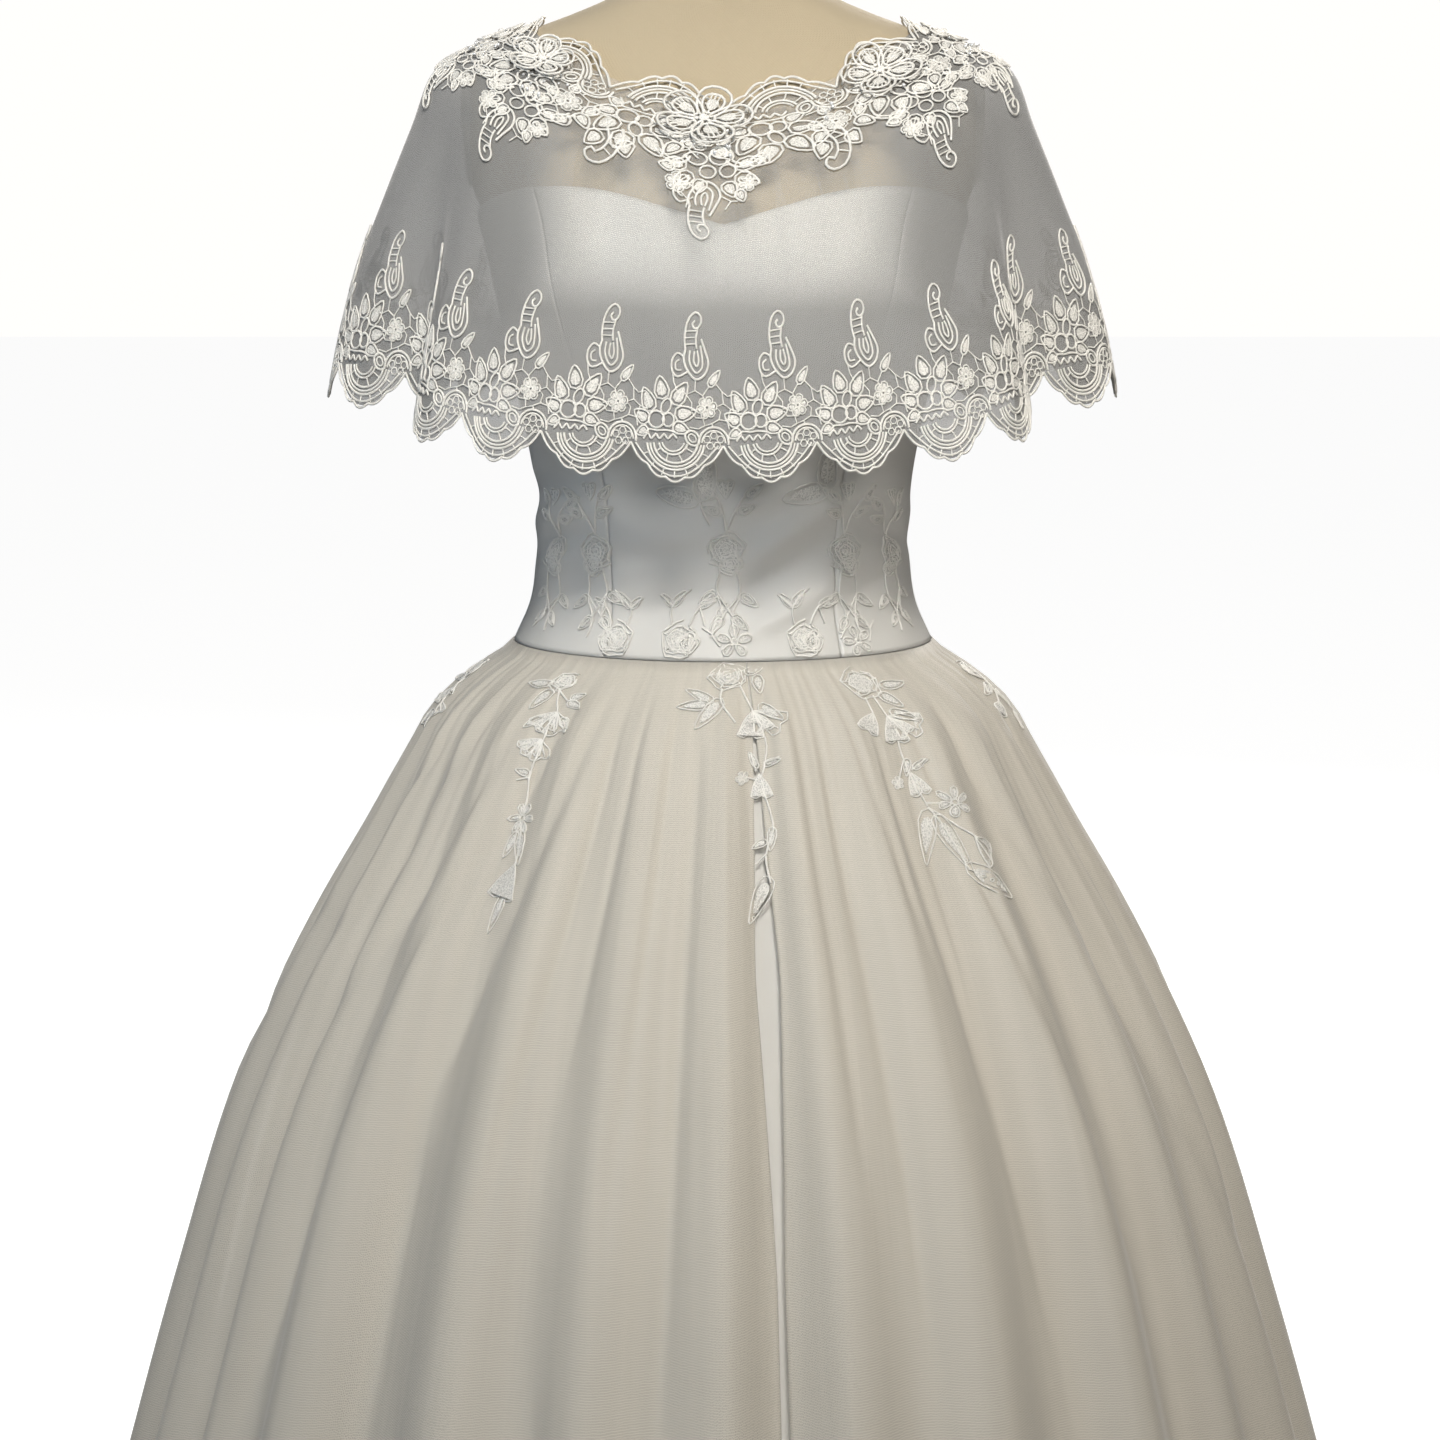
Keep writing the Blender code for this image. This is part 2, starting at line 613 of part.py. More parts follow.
def make_bodice():
    princess = seam_line(PRINCESS_WAIST_ANGLE, PRINCESS_TOP_ANGLE)
    side = seam_line(SIDE_SEAM_ANGLE, SIDE_SEAM_ANGLE)
    back = seam_line(BACK_WAIST_ANGLE, BACK_TOP_ANGLE)
    middle_back = seam_line(180.0, 180.0)
    bodice_panel("bodice_center_front", lambda row: -princess(row), princess, 8)
    right_seams = [
        ("side_front", princess, side, 5),
        ("side_back", side, back, 4),
        ("back", back, middle_back, 4),
    ]
    for label, start, end, columns in right_seams:
        bodice_panel(f"bodice_{label}_right", start, end, columns)
        bodice_panel(
            f"bodice_{label}_left",
            lambda row, line=end: -line(row),
            lambda row, line=start: -line(row),
            columns,
        )


def make_buttons():
    """Covered buttons down the centre back, just off the outer face of the satin."""
    line = [bodice_point(180.0, j / BODICE_ROWS) for j in range(BODICE_ROWS + 1)]
    for i in range(BUTTON_COUNT):
        z = BUTTON_LOW_Z + (BUTTON_HIGH_Z - BUTTON_LOW_Z) * i / (BUTTON_COUNT - 1)
        face = float(np.interp(z, [p.z for p in line], [p.y for p in line])) + SATIN_WALL
        bm = bmesh.new()
        bmesh.ops.create_uvsphere(bm, u_segments=6, v_segments=4, radius=1.0)
        seat = face + BUTTON_SEAT + BUTTON_HALF_DEPTH
        for vert in bm.verts:
            x, y, depth = vert.co
            vert.co = (-x * BUTTON_RADIUS, seat + depth * BUTTON_HALF_DEPTH, z + y * BUTTON_RADIUS)
        add_piece(f"back_button_{i + 1}", bm, "satin")


# Skirts

def make_satin_skirt():
    quarter = SATIN_SIDES // 2
    for label, start in (("front", -90.0), ("back", 90.0)):
        trim = math.degrees(SEAM_HALF / SKIRT[-1].half_width)
        angles = [start + 180 * i / quarter for i in range(quarter + 1)]
        angles[0] += trim
        angles[-1] -= trim
        cloth(f"satin_skirt_{label}", satin_point, angles, SKIRT_ROWS, SKIRT_SATIN_WALL, "satin")


def tulle_columns(start, end):
    """Angles from start to end, with an equal number of steps on each fold between its crests."""
    crests = [fold.crest for fold in FOLDS] + [180.0]
    angles = []
    for low, high in zip(crests, crests[1:]):
        angles += [low + (high - low) * k / FOLD_STEPS for k in range(FOLD_STEPS)]
    margin = 1.0
    return [start] + [a for a in angles if start + margin < a < end - margin] + [end]


def tulle_left(angle, z):
    """The inner face of the left tulle panel, from the centre back to the slit."""
    return tulle_panel(-180.0, SLIT_ANGLE, angle, z)


def tulle_right(angle, z):
    """The inner face of the right tulle panel, from the slit to the centre back."""
    return tulle_panel(SLIT_ANGLE, 180.0, angle, z)


def tulle_panel(start, end, angle, z):
    """A point of a panel that keeps half the slit free at one edge and half a seam at the other."""
    radius = skirt_point(angle, z).xy.length
    slit = math.degrees(straight_column(SLIT, "width", z) / 2 / radius)
    seam = math.degrees(SEAM_HALF / radius)
    low = slit if start == SLIT_ANGLE else seam
    high = slit if end == SLIT_ANGLE else seam
    squeeze = (end - start - low - high) / (end - start)
    return tulle_point(start + low + (angle - start) * squeeze, z)


def make_tulle_skirt():
    """Two gathered panels that meet at the centre back and part at a slit near the front."""
    left_columns = tulle_columns(-180.0, SLIT_ANGLE)
    right_columns = tulle_columns(SLIT_ANGLE, 180.0)
    cloth("tulle_skirt_left", tulle_left, left_columns, SKIRT_ROWS, TULLE_WALL, "tulle")
    cloth("tulle_skirt_right", tulle_right, right_columns, SKIRT_ROWS, TULLE_WALL, "tulle")


# Cape and its lace

def cape_sheet():
    columns = [-180 + 360 * i / CAPE_COLUMNS for i in range(-2, CAPE_COLUMNS + 3)]
    rows = [row.drop for row in CAPE]
    return Sheet(cape_point, columns, rows)


def make_cape(sheet):
    """Front and back of the tulle cape, joined at the shoulders."""
    rows = [row.drop for row in CAPE if 0 <= row.drop < TULLE_HEM_DROP] + [TULLE_HEM_DROP]
    rows.reverse()
    half = CAPE_COLUMNS // 2
    for label, start in (("front", -90.0), ("back", 90.0)):
        angles = [start + 180 * i / half for i in range(half + 1)]
        trim = math.degrees(SEAM_HALF / CAPE[0].half_width)
        angles[0] += trim
        angles[-1] -= trim
        cloth(f"cape_{label}", lambda a, drop: sheet.at(wrap(a), drop), angles, rows, TULLE_WALL, "tulle")


def scallops(first, count, steps, dip):
    """Points along a scalloped edge, one arch to a repeat, from left to right."""
    edge = []
    for i in range(count * steps + 1):
        share = (i % steps) / steps
        edge.append((first + i / steps, dip * (1 - math.sin(math.pi * share))))
    return edge


def repeated(outlines, first, count, step=1):
    """Copies of some outlines, one set to a repeat."""
    return [
        [(first + i + x, y) for x, y in outline]
        for i in range(0, count, step)
        for outline in outlines
    ]


def cape_length(sheet):
    """A function that gives the cloth's length from neckline to hem at an angle."""
    drops = [drop for drop in sheet.rows if drop >= 0]
    known = []
    for angle in sheet.columns:
        line = [sheet.at(angle, drop) for drop in drops]
        known.append(sum((b - a).length for a, b in zip(line, line[1:])))
    return lambda angle: float(np.interp(angle, sheet.columns, known))


def around_cape(sheet, row, repeats):
    """The length of one repeat along a row, and a function from repeats to the angle."""
    run = sheet.run_length(row)
    ends = np.interp([-180.0, 180.0], sheet.columns, run)
    repeat = float(ends[1] - ends[0]) / repeats

    def angle_at(x):
        x = (x + repeats / 2) % repeats - repeats / 2
        return float(np.interp(x * repeat, run, sheet.columns))

    return repeat, angle_at


def make_hem_lace(sheet):
    """Guipure along the cape's hem: scallops below, tulips with crozier tips above."""
    repeat, angle_at = around_cape(sheet, 1.0, HEM_REPEATS)
    length = cape_length(sheet)

    def place(x, y):
        angle = angle_at(x)
        return sheet.at(angle, 1.0 - y / length(angle), TULLE_WALL + LACE_LIFT)

    half = HEM_FRONT_REPEATS / 2
    for label, first, count in (
        ("front", -half, HEM_FRONT_REPEATS),
        ("back", half, HEM_REPEATS - HEM_FRONT_REPEATS),
    ):
        edge = scallops(first, count, HEM_SCALLOP_STEPS, HEM_DIP)
        top = repeated([HEM_BAND_TOP], first, count)
        over = [(first + count, HEM_BAND_TOP[0][1])] + [p for run in reversed(top) for p in reversed(run)]
        solids = [edge + over] + repeated([HEM_TULIP], first, count)
        gaps = repeated(HEM_GAPS, first, count)
        trim = SEAM_HALF / repeat
        place_cut = squeezed(place, first, first + count, trim)
        applied(f"hem_lace_{label}", solids, gaps, place_cut, LACE_WALL, "lace")


def squeezed(place, low, high, trim):
    """The same placing with half a seam gap left at each end."""
    scale = (high - low - 2 * trim) / (high - low)
    return lambda x, y: place(low + trim + (x - low) * scale, y)


def collar_place(sheet):
    """A function that lays a point, in repeats and metres below the scallops, on the cape."""
    repeat, angle_at = around_cape(sheet, 0.0, COLLAR_REPEATS)
    length = cape_length(sheet)

    def place(x, y, lift=0.0):
        angle = angle_at(x)
        return sheet.at(angle, CAPE[0].drop + y / length(angle), TULLE_WALL + COLLAR_LIFT + lift)

    return place, repeat


def collar_creases(sheet, repeat, first, count):
    """The cape's own rows under the collar, so that the lace bends where the cape does."""
    run = sheet.run_length(0.0)
    length = cape_length(sheet)
    lines = []
    for drop in sheet.rows[1:1 + COLLAR_CREASES]:
        line = []
        for turn in (0, COLLAR_REPEATS):
            for angle, distance in zip(sheet.columns, run):
                x = distance / repeat + turn
                if -180 <= angle < 180 and first < x < first + count:
                    line.append((x, (drop - sheet.rows[0]) * length(angle)))
        lines.append(line)
    return lines


def make_collar_lace(sheet):
    """The same lace turned over at the neckline, scallops up and pendants down."""
    place, repeat = collar_place(sheet)
    half = COLLAR_FRONT_REPEATS / 2
    for label, first, count in (
        ("front", -half, COLLAR_FRONT_REPEATS),
        ("back", half, COLLAR_REPEATS - COLLAR_FRONT_REPEATS),
    ):
        edge = scallops(first, count, COLLAR_SCALLOP_STEPS, COLLAR_DIP)
        under = [(first + i / 3, COLLAR_BAND_DEPTH) for i in reversed(range(3 * count + 1))]
        solids = [edge + under]
        for i in range(1, count):
            pendant = LONG_PENDANT if (first + i) % 2 == 0 else SHORT_PENDANT
            solids += repeated([pendant], first + i, 1)
        gaps = repeated(COLLAR_GAPS, first, count)
        creases = collar_creases(sheet, repeat, first, count)
        place_cut = squeezed(place, first, first + count, SEAM_HALF / repeat)
        applied(f"collar_lace_{label}", solids, gaps, place_cut, LACE_WALL, "lace", creases)


def make_collar_flowers(sheet):
    """Loose-petalled flowers that stand off the collar lace."""
    place, repeat = collar_place(sheet)
    for flower in COLLAR_FLOWERS:
        seat = LACE_WALL + FLOWER_LIFT
        middle = place(flower.repeat, flower.down, seat)
        side = (place(flower.repeat + 0.1, flower.down, seat) - middle).normalized()
        down = (place(flower.repeat, flower.down + 0.004, seat) - middle).normalized()
        out = down.cross(side).normalized()
        side = out.cross(down).normalized()
        bm = bmesh.new()
        bmesh.ops.create_circle(bm, cap_ends=True, cap_tris=True, segments=2 * FLOWER_PETALS, radius=1.0)
        rim = [vert for vert in bm.verts if vert.co.length > 0.5]
        rim.sort(key=lambda vert: math.atan2(vert.co.y, vert.co.x))
        for vert in bm.verts:
            if vert not in rim:
                vert.co = middle
        for i, vert in enumerate(rim):
            size = flower.radius * (FLOWER_NOTCH if i % 2 else 1.0)
            turn = math.radians(flower.turn) + math.pi * i / FLOWER_PETALS
            vert.co = middle + (side * math.cos(turn) - down * math.sin(turn) + out * FLOWER_CUP) * size
        thicken(add_piece(flower.name, bm, "lace"), FLOWER_WALL)


# Lace on the bodice and the skirt

def rose_outline(radius):
    """A lobed outline round a vine's first point, in metres."""
    points = []
    for i in range(2 * ROSE_LOBES):
        size = radius * (ROSE_NOTCH if i % 2 else 1.0)
        turn = math.pi * i / ROSE_LOBES
        points.append(Vector((size * math.cos(turn), size * math.sin(turn))))
    return points


def leaf_outline(run, length, side):
    """A pointed leaf that leaves the stem on one side of its run, in metres from the stem's point."""
    along = run.normalized() * length
    along.rotate(Matrix.Rotation(math.radians(side * LEAF_TURN), 2))
    across = along.orthogonal() * LEAF_WIDTH_SHARE / 2
    base = -run * LEAF_STAGGER * (1 + side)
    middle = base + along * 0.5
    return [base - along * LEAF_FOOT, middle - across, base + along, middle + across]


def vine_outlines(vine, reach):
    """Stem, rose and leaf pairs as outlines on the chart, where x is the angle to scale and y is z."""
    outlines, lefts, rights = [], [], []
    steps = [reach(angle, z) for angle, z in vine.stem]

    def on_chart(i, offset):
        angle, z = vine.stem[i]
        return Vector(((angle + offset.x / steps[i]) * CHART_SCALE, z + offset.y))

    def run(i, j):
        (a0, z0), (a1, z1) = vine.stem[i], vine.stem[j]
        return Vector(((a1 - a0) * steps[j], z1 - z0))

    last = len(vine.stem) - 1
    for i in range(last + 1):
        side = run(max(i - 1, 0), min(i + 1, last)).normalized().orthogonal() * STEM_WIDTH / 2
        lefts.append(on_chart(i, side))
        rights.append(on_chart(i, -side))
        if i:
            leaves = [leaf_outline(run(i - 1, i), vine.leaf, leaf_side) for leaf_side in (-1, 1)]
            outlines += [[on_chart(i, p) for p in leaf] for leaf in leaves]
    outlines.append([on_chart(0, p) for p in rose_outline(vine.rose)])
    return outlines + [lefts + rights[::-1]]


def make_vines(vines, sheet, ground, row_at, fold_lines, wall):
    """Lay vines on the cloth of a sheet, creased along its rows and the given angles."""
    def reach(angle, z):
        return (ground(angle + 1, z) - ground(angle - 1, z)).length / 2

    for vine in vines:
        def place(x, y, lift=wall + vine.lift):
            angle = x / CHART_SCALE
            return sheet.at(angle, row_at(angle, y), lift)

        outlines = vine_outlines(vine, reach)
        xs = [p.x for outline in outlines for p in outline]
        ys = [p.y for outline in outlines for p in outline]
        folds = [a * CHART_SCALE for a in fold_lines if min(xs) < a * CHART_SCALE < max(xs)]
        rows = [z for z in sheet.rows if min(ys) < z < max(ys)]
        creases = [[(x, min(ys)), (x, max(ys))] for x in folds]
        creases += [[(min(xs), z), (max(xs), z)] for z in rows]
        applied(vine.name, outlines, [], place, LACE_WALL, "lace", creases)


def make_skirt_lace():
    columns = [a for a in tulle_columns(-180.0, SLIT_ANGLE) if abs(a) < 110]
    columns[-1] -= SLIT_EDGE
    columns += [SLIT_ANGLE + SLIT_EDGE]
    columns += [a for a in tulle_columns(SLIT_ANGLE, 180.0) if SLIT_ANGLE < a < 110]

    def surface(angle, z):
        return tulle_left(angle, z) if angle < SLIT_ANGLE else tulle_right(angle, z)

    crests = [fold.crest for fold in FOLDS]
    sheet = Sheet(surface, columns, SKIRT_ROWS)
    make_vines(SKIRT_VINES, sheet, skirt_point, lambda angle, z: z, crests, TULLE_WALL)


def make_bodice_lace():
    columns = list(range(-110, 111, 5))
    rows = [j / BODICE_ROWS for j in range(BODICE_ROWS + 1)]
    sheet = Sheet(bodice_point, columns, rows)
    make_vines(BODICE_VINES, sheet, form_point, bodice_row, [], SATIN_WALL)


PIECES = reset_scene()
MATERIALS = {name: make_material(name) for name in FINISHES}
make_form()
make_stand()
make_bodice()
make_buttons()
make_satin_skirt()
make_tulle_skirt()
CAPE_SHEET = cape_sheet()
make_cape(CAPE_SHEET)
make_hem_lace(CAPE_SHEET)
make_collar_lace(CAPE_SHEET)
make_collar_flowers(CAPE_SHEET)
make_skirt_lace()
make_bodice_lace()
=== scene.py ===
"""Wedding dress with a lace-edged cape on a limbless dress form: the finished look of every piece.

Metres, +Z up, the front faces -Y. Angles go round the dress in degrees: 0 at the front, 90 at +X.
Lace is drawn flat in millimetres, as a maker would chart it, and then laid on the cloth.
"""

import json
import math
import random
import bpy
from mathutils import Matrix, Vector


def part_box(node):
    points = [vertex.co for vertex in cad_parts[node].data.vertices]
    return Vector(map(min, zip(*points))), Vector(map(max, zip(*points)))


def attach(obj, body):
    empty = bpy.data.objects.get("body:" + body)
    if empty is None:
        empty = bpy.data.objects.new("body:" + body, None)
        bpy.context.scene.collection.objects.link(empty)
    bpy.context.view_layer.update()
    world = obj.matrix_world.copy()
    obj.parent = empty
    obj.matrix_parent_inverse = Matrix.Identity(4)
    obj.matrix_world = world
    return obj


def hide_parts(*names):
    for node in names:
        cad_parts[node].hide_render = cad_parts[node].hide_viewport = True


bl_info = {
    "name": "Wedding dress with lace cape",
    "version": (1, 0, 0),
    "blender": (4, 5, 0),
    "location": "View3D > Sidebar > Dress",
    "description": "Builds the gown, its lace cape and the dress form that carries them",
    "category": "Object",
}

from collections import namedtuple
from functools import partial

import bmesh
import bpy
import numpy as np
from bpy.props import FloatProperty, FloatVectorProperty, IntProperty, PointerProperty
from mathutils import Vector

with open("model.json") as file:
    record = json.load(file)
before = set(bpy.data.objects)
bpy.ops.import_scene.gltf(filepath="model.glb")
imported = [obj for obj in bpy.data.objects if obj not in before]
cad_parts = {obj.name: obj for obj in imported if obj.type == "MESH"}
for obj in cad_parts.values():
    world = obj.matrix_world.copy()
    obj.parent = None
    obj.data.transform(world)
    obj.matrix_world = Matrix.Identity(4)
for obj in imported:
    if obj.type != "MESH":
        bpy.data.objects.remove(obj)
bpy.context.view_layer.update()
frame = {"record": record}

MM = 0.001

# Padded form: half width, front and back depth at each height
FormRing = namedtuple("FormRing", "z half_width front back")
FORM = [
    FormRing(0.840, 0.148, 0.094, 0.104),
    FormRing(0.880, 0.160, 0.102, 0.116),
    FormRing(0.930, 0.166, 0.107, 0.122),
    FormRing(0.985, 0.162, 0.105, 0.116),
    FormRing(1.030, 0.152, 0.101, 0.104),
    FormRing(1.060, 0.1405, 0.0975, 0.094),
    FormRing(1.085, 0.1295, 0.095, 0.086),
    FormRing(1.115, 0.1245, 0.093, 0.080),
    FormRing(1.165, 0.1245, 0.094, 0.078),
    FormRing(1.210, 0.1315, 0.100, 0.082),
    FormRing(1.260, 0.142, 0.109, 0.089),
    FormRing(1.305, 0.151, 0.114, 0.096),
    FormRing(1.345, 0.160, 0.109, 0.100),
    FormRing(1.375, 0.172, 0.099, 0.100),
    FormRing(1.405, 0.178, 0.087, 0.094),
    FormRing(1.430, 0.174, 0.074, 0.083),
    FormRing(1.448, 0.160, 0.063, 0.071),
    FormRing(1.460, 0.148, 0.058, 0.065),
    FormRing(1.470, 0.130, 0.055, 0.061),
    FormRing(1.481, 0.100, 0.053, 0.058),
    FormRing(1.493, 0.072, 0.052, 0.056),
    FormRing(1.515, 0.058, 0.051, 0.054),
    FormRing(1.555, 0.055, 0.050, 0.053),
]
ARM_FLAT = 0.168
BUST_ANGLE, BUST_SPREAD = 31.0, 24.0
BUST_Z, BUST_TALL, BUST_DEPTH = 1.300, 0.062, 0.012

# Bodice
WAIST_SEAM_Z = 1.060
BODICE_OUT = 5.5 * MM
TopEdge = namedtuple("TopEdge", "angle z")
BODICE_TOP = [
    TopEdge(0, 1.343), TopEdge(12, 1.354), TopEdge(26, 1.365), TopEdge(44, 1.367), TopEdge(66, 1.358),
    TopEdge(90, 1.345), TopEdge(120, 1.320), TopEdge(150, 1.304), TopEdge(180, 1.300),
]
# Each panel: its edges at the waist and at the top, and the width, length and area of its cut
Panel = namedtuple("Panel", "name waist_start waist_end top_start top_end width length area")
BODICE_PANELS = [
    Panel("center_front", -33, 33, -44, 44, 0.230, 0.312, 0.0570),
    Panel("side_front_right", 33, 90, 44, 90, 0.125, 0.312, 0.0312),
    Panel("side_back_right", 90, 142, 90, 134, 0.100, 0.290, 0.0230),
    Panel("back_right", 142, 180, 134, 180, 0.115, 0.256, 0.0235),
    Panel("side_front_left", -90, -33, -90, -44, 0.125, 0.312, 0.0312),
    Panel("side_back_left", -142, -90, -134, -90, 0.100, 0.290, 0.0230),
    Panel("back_left", -180, -142, -180, -134, 0.115, 0.256, 0.0235),
]
# Soft folds across the waist; a negative depth is a puff
Wrinkle = namedtuple("Wrinkle", "angle z slope length height depth")
WAIST_WRINKLES = [
    Wrinkle(-22, 1.168, 0.0002, 15, 0.0090, 2.8), Wrinkle(-20, 1.142, 0.0000, 15, 0.0095, -4.6),
    Wrinkle(-16, 1.098, 0.0006, 16, 0.0105, 3.6), Wrinkle(-26, 1.118, 0.0004, 10, 0.0070, -2.0),
    Wrinkle(20, 1.164, 0.0011, 14, 0.0085, 2.6), Wrinkle(18, 1.142, 0.0011, 15, 0.0095, -4.6),
    Wrinkle(16, 1.116, 0.0011, 16, 0.0095, 3.7), Wrinkle(20, 1.094, 0.0010, 14, 0.0090, -3.6),
    Wrinkle(-60, 1.152, 0.0003, 16, 0.0080, -3.6), Wrinkle(-60, 1.135, 0.0004, 16, 0.0070, 3.4),
    Wrinkle(-62, 1.119, 0.0004, 15, 0.0080, -3.2), Wrinkle(-48, 1.101, 0.0006, 12, 0.0080, 2.8),
    Wrinkle(54, 1.160, -0.0006, 15, 0.0080, -3.6), Wrinkle(56, 1.142, -0.0006, 15, 0.0075, 3.4),
    Wrinkle(60, 1.124, -0.0004, 14, 0.0080, -3.0), Wrinkle(48, 1.104, 0.0006, 12, 0.0080, 2.8),
    Wrinkle(0, 1.196, -0.0003, 24, 0.0085, 2.8), Wrinkle(-80, 1.170, 0.0005, 16, 0.0080, 2.8),
    Wrinkle(-100, 1.150, 0.0004, 22, 0.0070, 3.0), Wrinkle(-104, 1.134, 0.0004, 20, 0.0080, -2.4),
    Wrinkle(108, 1.136, 0.0003, 22, 0.0070, 3.0), Wrinkle(106, 1.154, 0.0003, 20, 0.0080, -2.4),
    Wrinkle(-150, 1.170, -0.0004, 18, 0.0070, 2.6), Wrinkle(152, 1.122, 0.0004, 18, 0.0070, 2.6),
    Wrinkle(-128, 1.112, 0.0004, 16, 0.0070, 2.4), Wrinkle(130, 1.176, -0.0004, 18, 0.0075, 2.6),
]

# Skirts: the crests of the tulle lie on these ovals
SkirtRing = namedtuple("SkirtRing", "z half_width front back fold_depth satin_inset")
SKIRT = [
    SkirtRing(0.014, 0.565, 0.490, 0.575, 0.046, 0.056),
    SkirtRing(0.300, 0.487, 0.415, 0.490, 0.039, 0.049),
    SkirtRing(0.449, 0.445, 0.375, 0.440, 0.034, 0.044),
    SkirtRing(0.593, 0.402, 0.334, 0.388, 0.030, 0.039),
    SkirtRing(0.760, 0.345, 0.278, 0.318, 0.025, 0.033),
    SkirtRing(0.880, 0.284, 0.225, 0.252, 0.020, 0.027),
    SkirtRing(0.930, 0.254, 0.200, 0.219, 0.017, 0.023),
    SkirtRing(0.980, 0.225, 0.171, 0.184, 0.012, 0.017),
    SkirtRing(1.020, 0.199, 0.145, 0.149, 0.007, 0.0125),
    SkirtRing(1.040, 0.1750, 0.1262, 0.1257, 0.004, 0.0085),
    SkirtRing(1.050, 0.1590, 0.1142, 0.1118, 0.001, 0.0045),
    SkirtRing(1.0585, 0.1473, 0.1043, 0.1008, 0.0, 0.0024),
    SkirtRing(1.0598, 0.1470, 0.1040, 0.1005, 0.0, 0.0021),
]
HEM_Z = SKIRT[0].z
SKIRT_TOP_Z = SKIRT[-1].z
Fold = namedtuple("Fold", "crest depth_share")
FOLDS = [
    Fold(-180, 0.8), Fold(-164, 0.9), Fold(-149, 0.7), Fold(-133, 1.0), Fold(-117, 0.8),
    Fold(-103, 0.9), Fold(-90, 0.6), Fold(-79, 0.7), Fold(-67, 0.8),
    Fold(-56, 0.5), Fold(-46, 1.0), Fold(-27, 0.6), Fold(-13, 0.5), Fold(0, 0.9),
    Fold(12, 0.5), Fold(26, 0.8), Fold(43, 0.7), Fold(56, 0.6), Fold(69, 0.8),
    Fold(81, 0.6), Fold(93, 0.9), Fold(107, 0.7), Fold(122, 0.9), Fold(137, 0.8),
    Fold(152, 1.0), Fold(166, 0.8),
]
SLIT_ANGLE = 6.0
SlitWidth = namedtuple("SlitWidth", "z width")
SLIT = [
    SlitWidth(0.014, 0.026), SlitWidth(0.449, 0.012), SlitWidth(0.580, 0.005), SlitWidth(0.700, 0.004),
    SlitWidth(0.800, 0.009), SlitWidth(0.880, 0.013), SlitWidth(0.950, 0.006), SlitWidth(1.020, 0.0015),
    SlitWidth(1.060, 0.0003),
]
# Pressed creases in the tulle, from an upper point to a lower one: width in degrees, depth in mm
Crease = namedtuple("Crease", "top_angle top_z low_angle low_z width depth")
TULLE_CREASES = [
    Crease(-24, 1.045, -38, 0.80, 1.5, 3.4), Crease(-38, 0.80, -40, 0.30, 2.2, 5.0),
    Crease(-30, 1.050, -50, 0.84, 1.3, 2.6), Crease(-42, 1.030, -62, 0.76, 1.3, 2.6),
    Crease(-50, 1.045, -72, 0.82, 1.2, 2.2), Crease(-56, 0.98, -66, 0.60, 1.4, 2.8),
    Crease(-62, 1.02, -80, 0.86, 1.2, 2.0), Crease(-46, 0.90, -54, 0.55, 1.3, 2.8),
    Crease(-20, 1.048, -26, 0.70, 1.1, 2.2), Crease(-15, 1.050, -19, 0.82, 0.9, 1.8),
    Crease(-9, 1.050, -12, 0.74, 0.9, 2.0), Crease(-4, 1.046, -6, 0.62, 1.1, 2.2),
    Crease(14, 1.050, 15, 0.78, 0.9, 2.0), Crease(18, 1.048, 21, 0.66, 1.1, 2.2),
    Crease(24, 1.050, 30, 0.86, 0.9, 1.6), Crease(29, 1.046, 37, 0.60, 1.2, 2.6),
    Crease(38, 1.040, 48, 0.70, 1.1, 2.4), Crease(47, 1.044, 60, 0.84, 1.1, 2.0),
    Crease(56, 1.030, 70, 0.64, 1.2, 2.6), Crease(66, 1.046, 82, 0.86, 1.1, 2.0),
    Crease(-78, 1.04, -92, 0.74, 1.2, 2.4), Crease(-98, 1.045, -108, 0.66, 1.2, 2.4),
    Crease(-118, 1.04, -126, 0.80, 1.1, 2.2), Crease(-140, 1.046, -144, 0.62, 1.2, 2.4),
    Crease(-160, 1.04, -156, 0.78, 1.1, 2.2), Crease(80, 1.04, 96, 0.72, 1.2, 2.4),
    Crease(100, 1.046, 112, 0.66, 1.2, 2.4), Crease(124, 1.04, 130, 0.82, 1.1, 2.2),
    Crease(142, 1.046, 146, 0.60, 1.2, 2.4), Crease(162, 1.04, 158, 0.80, 1.1, 2.2),
    Crease(-33, 0.62, -31, 0.02, 1.6, 4.0), Crease(-18, 0.66, -18, 0.02, 1.6, 3.6),
    Crease(-8, 0.56, -9, 0.02, 1.3, 3.2), Crease(16, 0.60, 15, 0.02, 1.4, 3.4),
    Crease(34, 0.56, 36, 0.02, 1.5, 3.6), Crease(50, 0.60, 49, 0.02, 1.4, 3.2),
    Crease(64, 0.52, 66, 0.02, 1.4, 3.4), Crease(-55, 0.52, -57, 0.02, 1.5, 3.6),
    Crease(-74, 0.56, -76, 0.02, 1.4, 3.2), Crease(-96, 0.60, -97, 0.02, 1.5, 3.6),
    Crease(-124, 0.50, -126, 0.02, 1.5, 3.4), Crease(-156, 0.58, -157, 0.02, 1.5, 3.6),
    Crease(100, 0.56, 101, 0.02, 1.5, 3.4), Crease(130, 0.60, 129, 0.02, 1.5, 3.6),
    Crease(158, 0.52, 160, 0.02, 1.5, 3.4),
]

CREASE_GAIN = 1.5

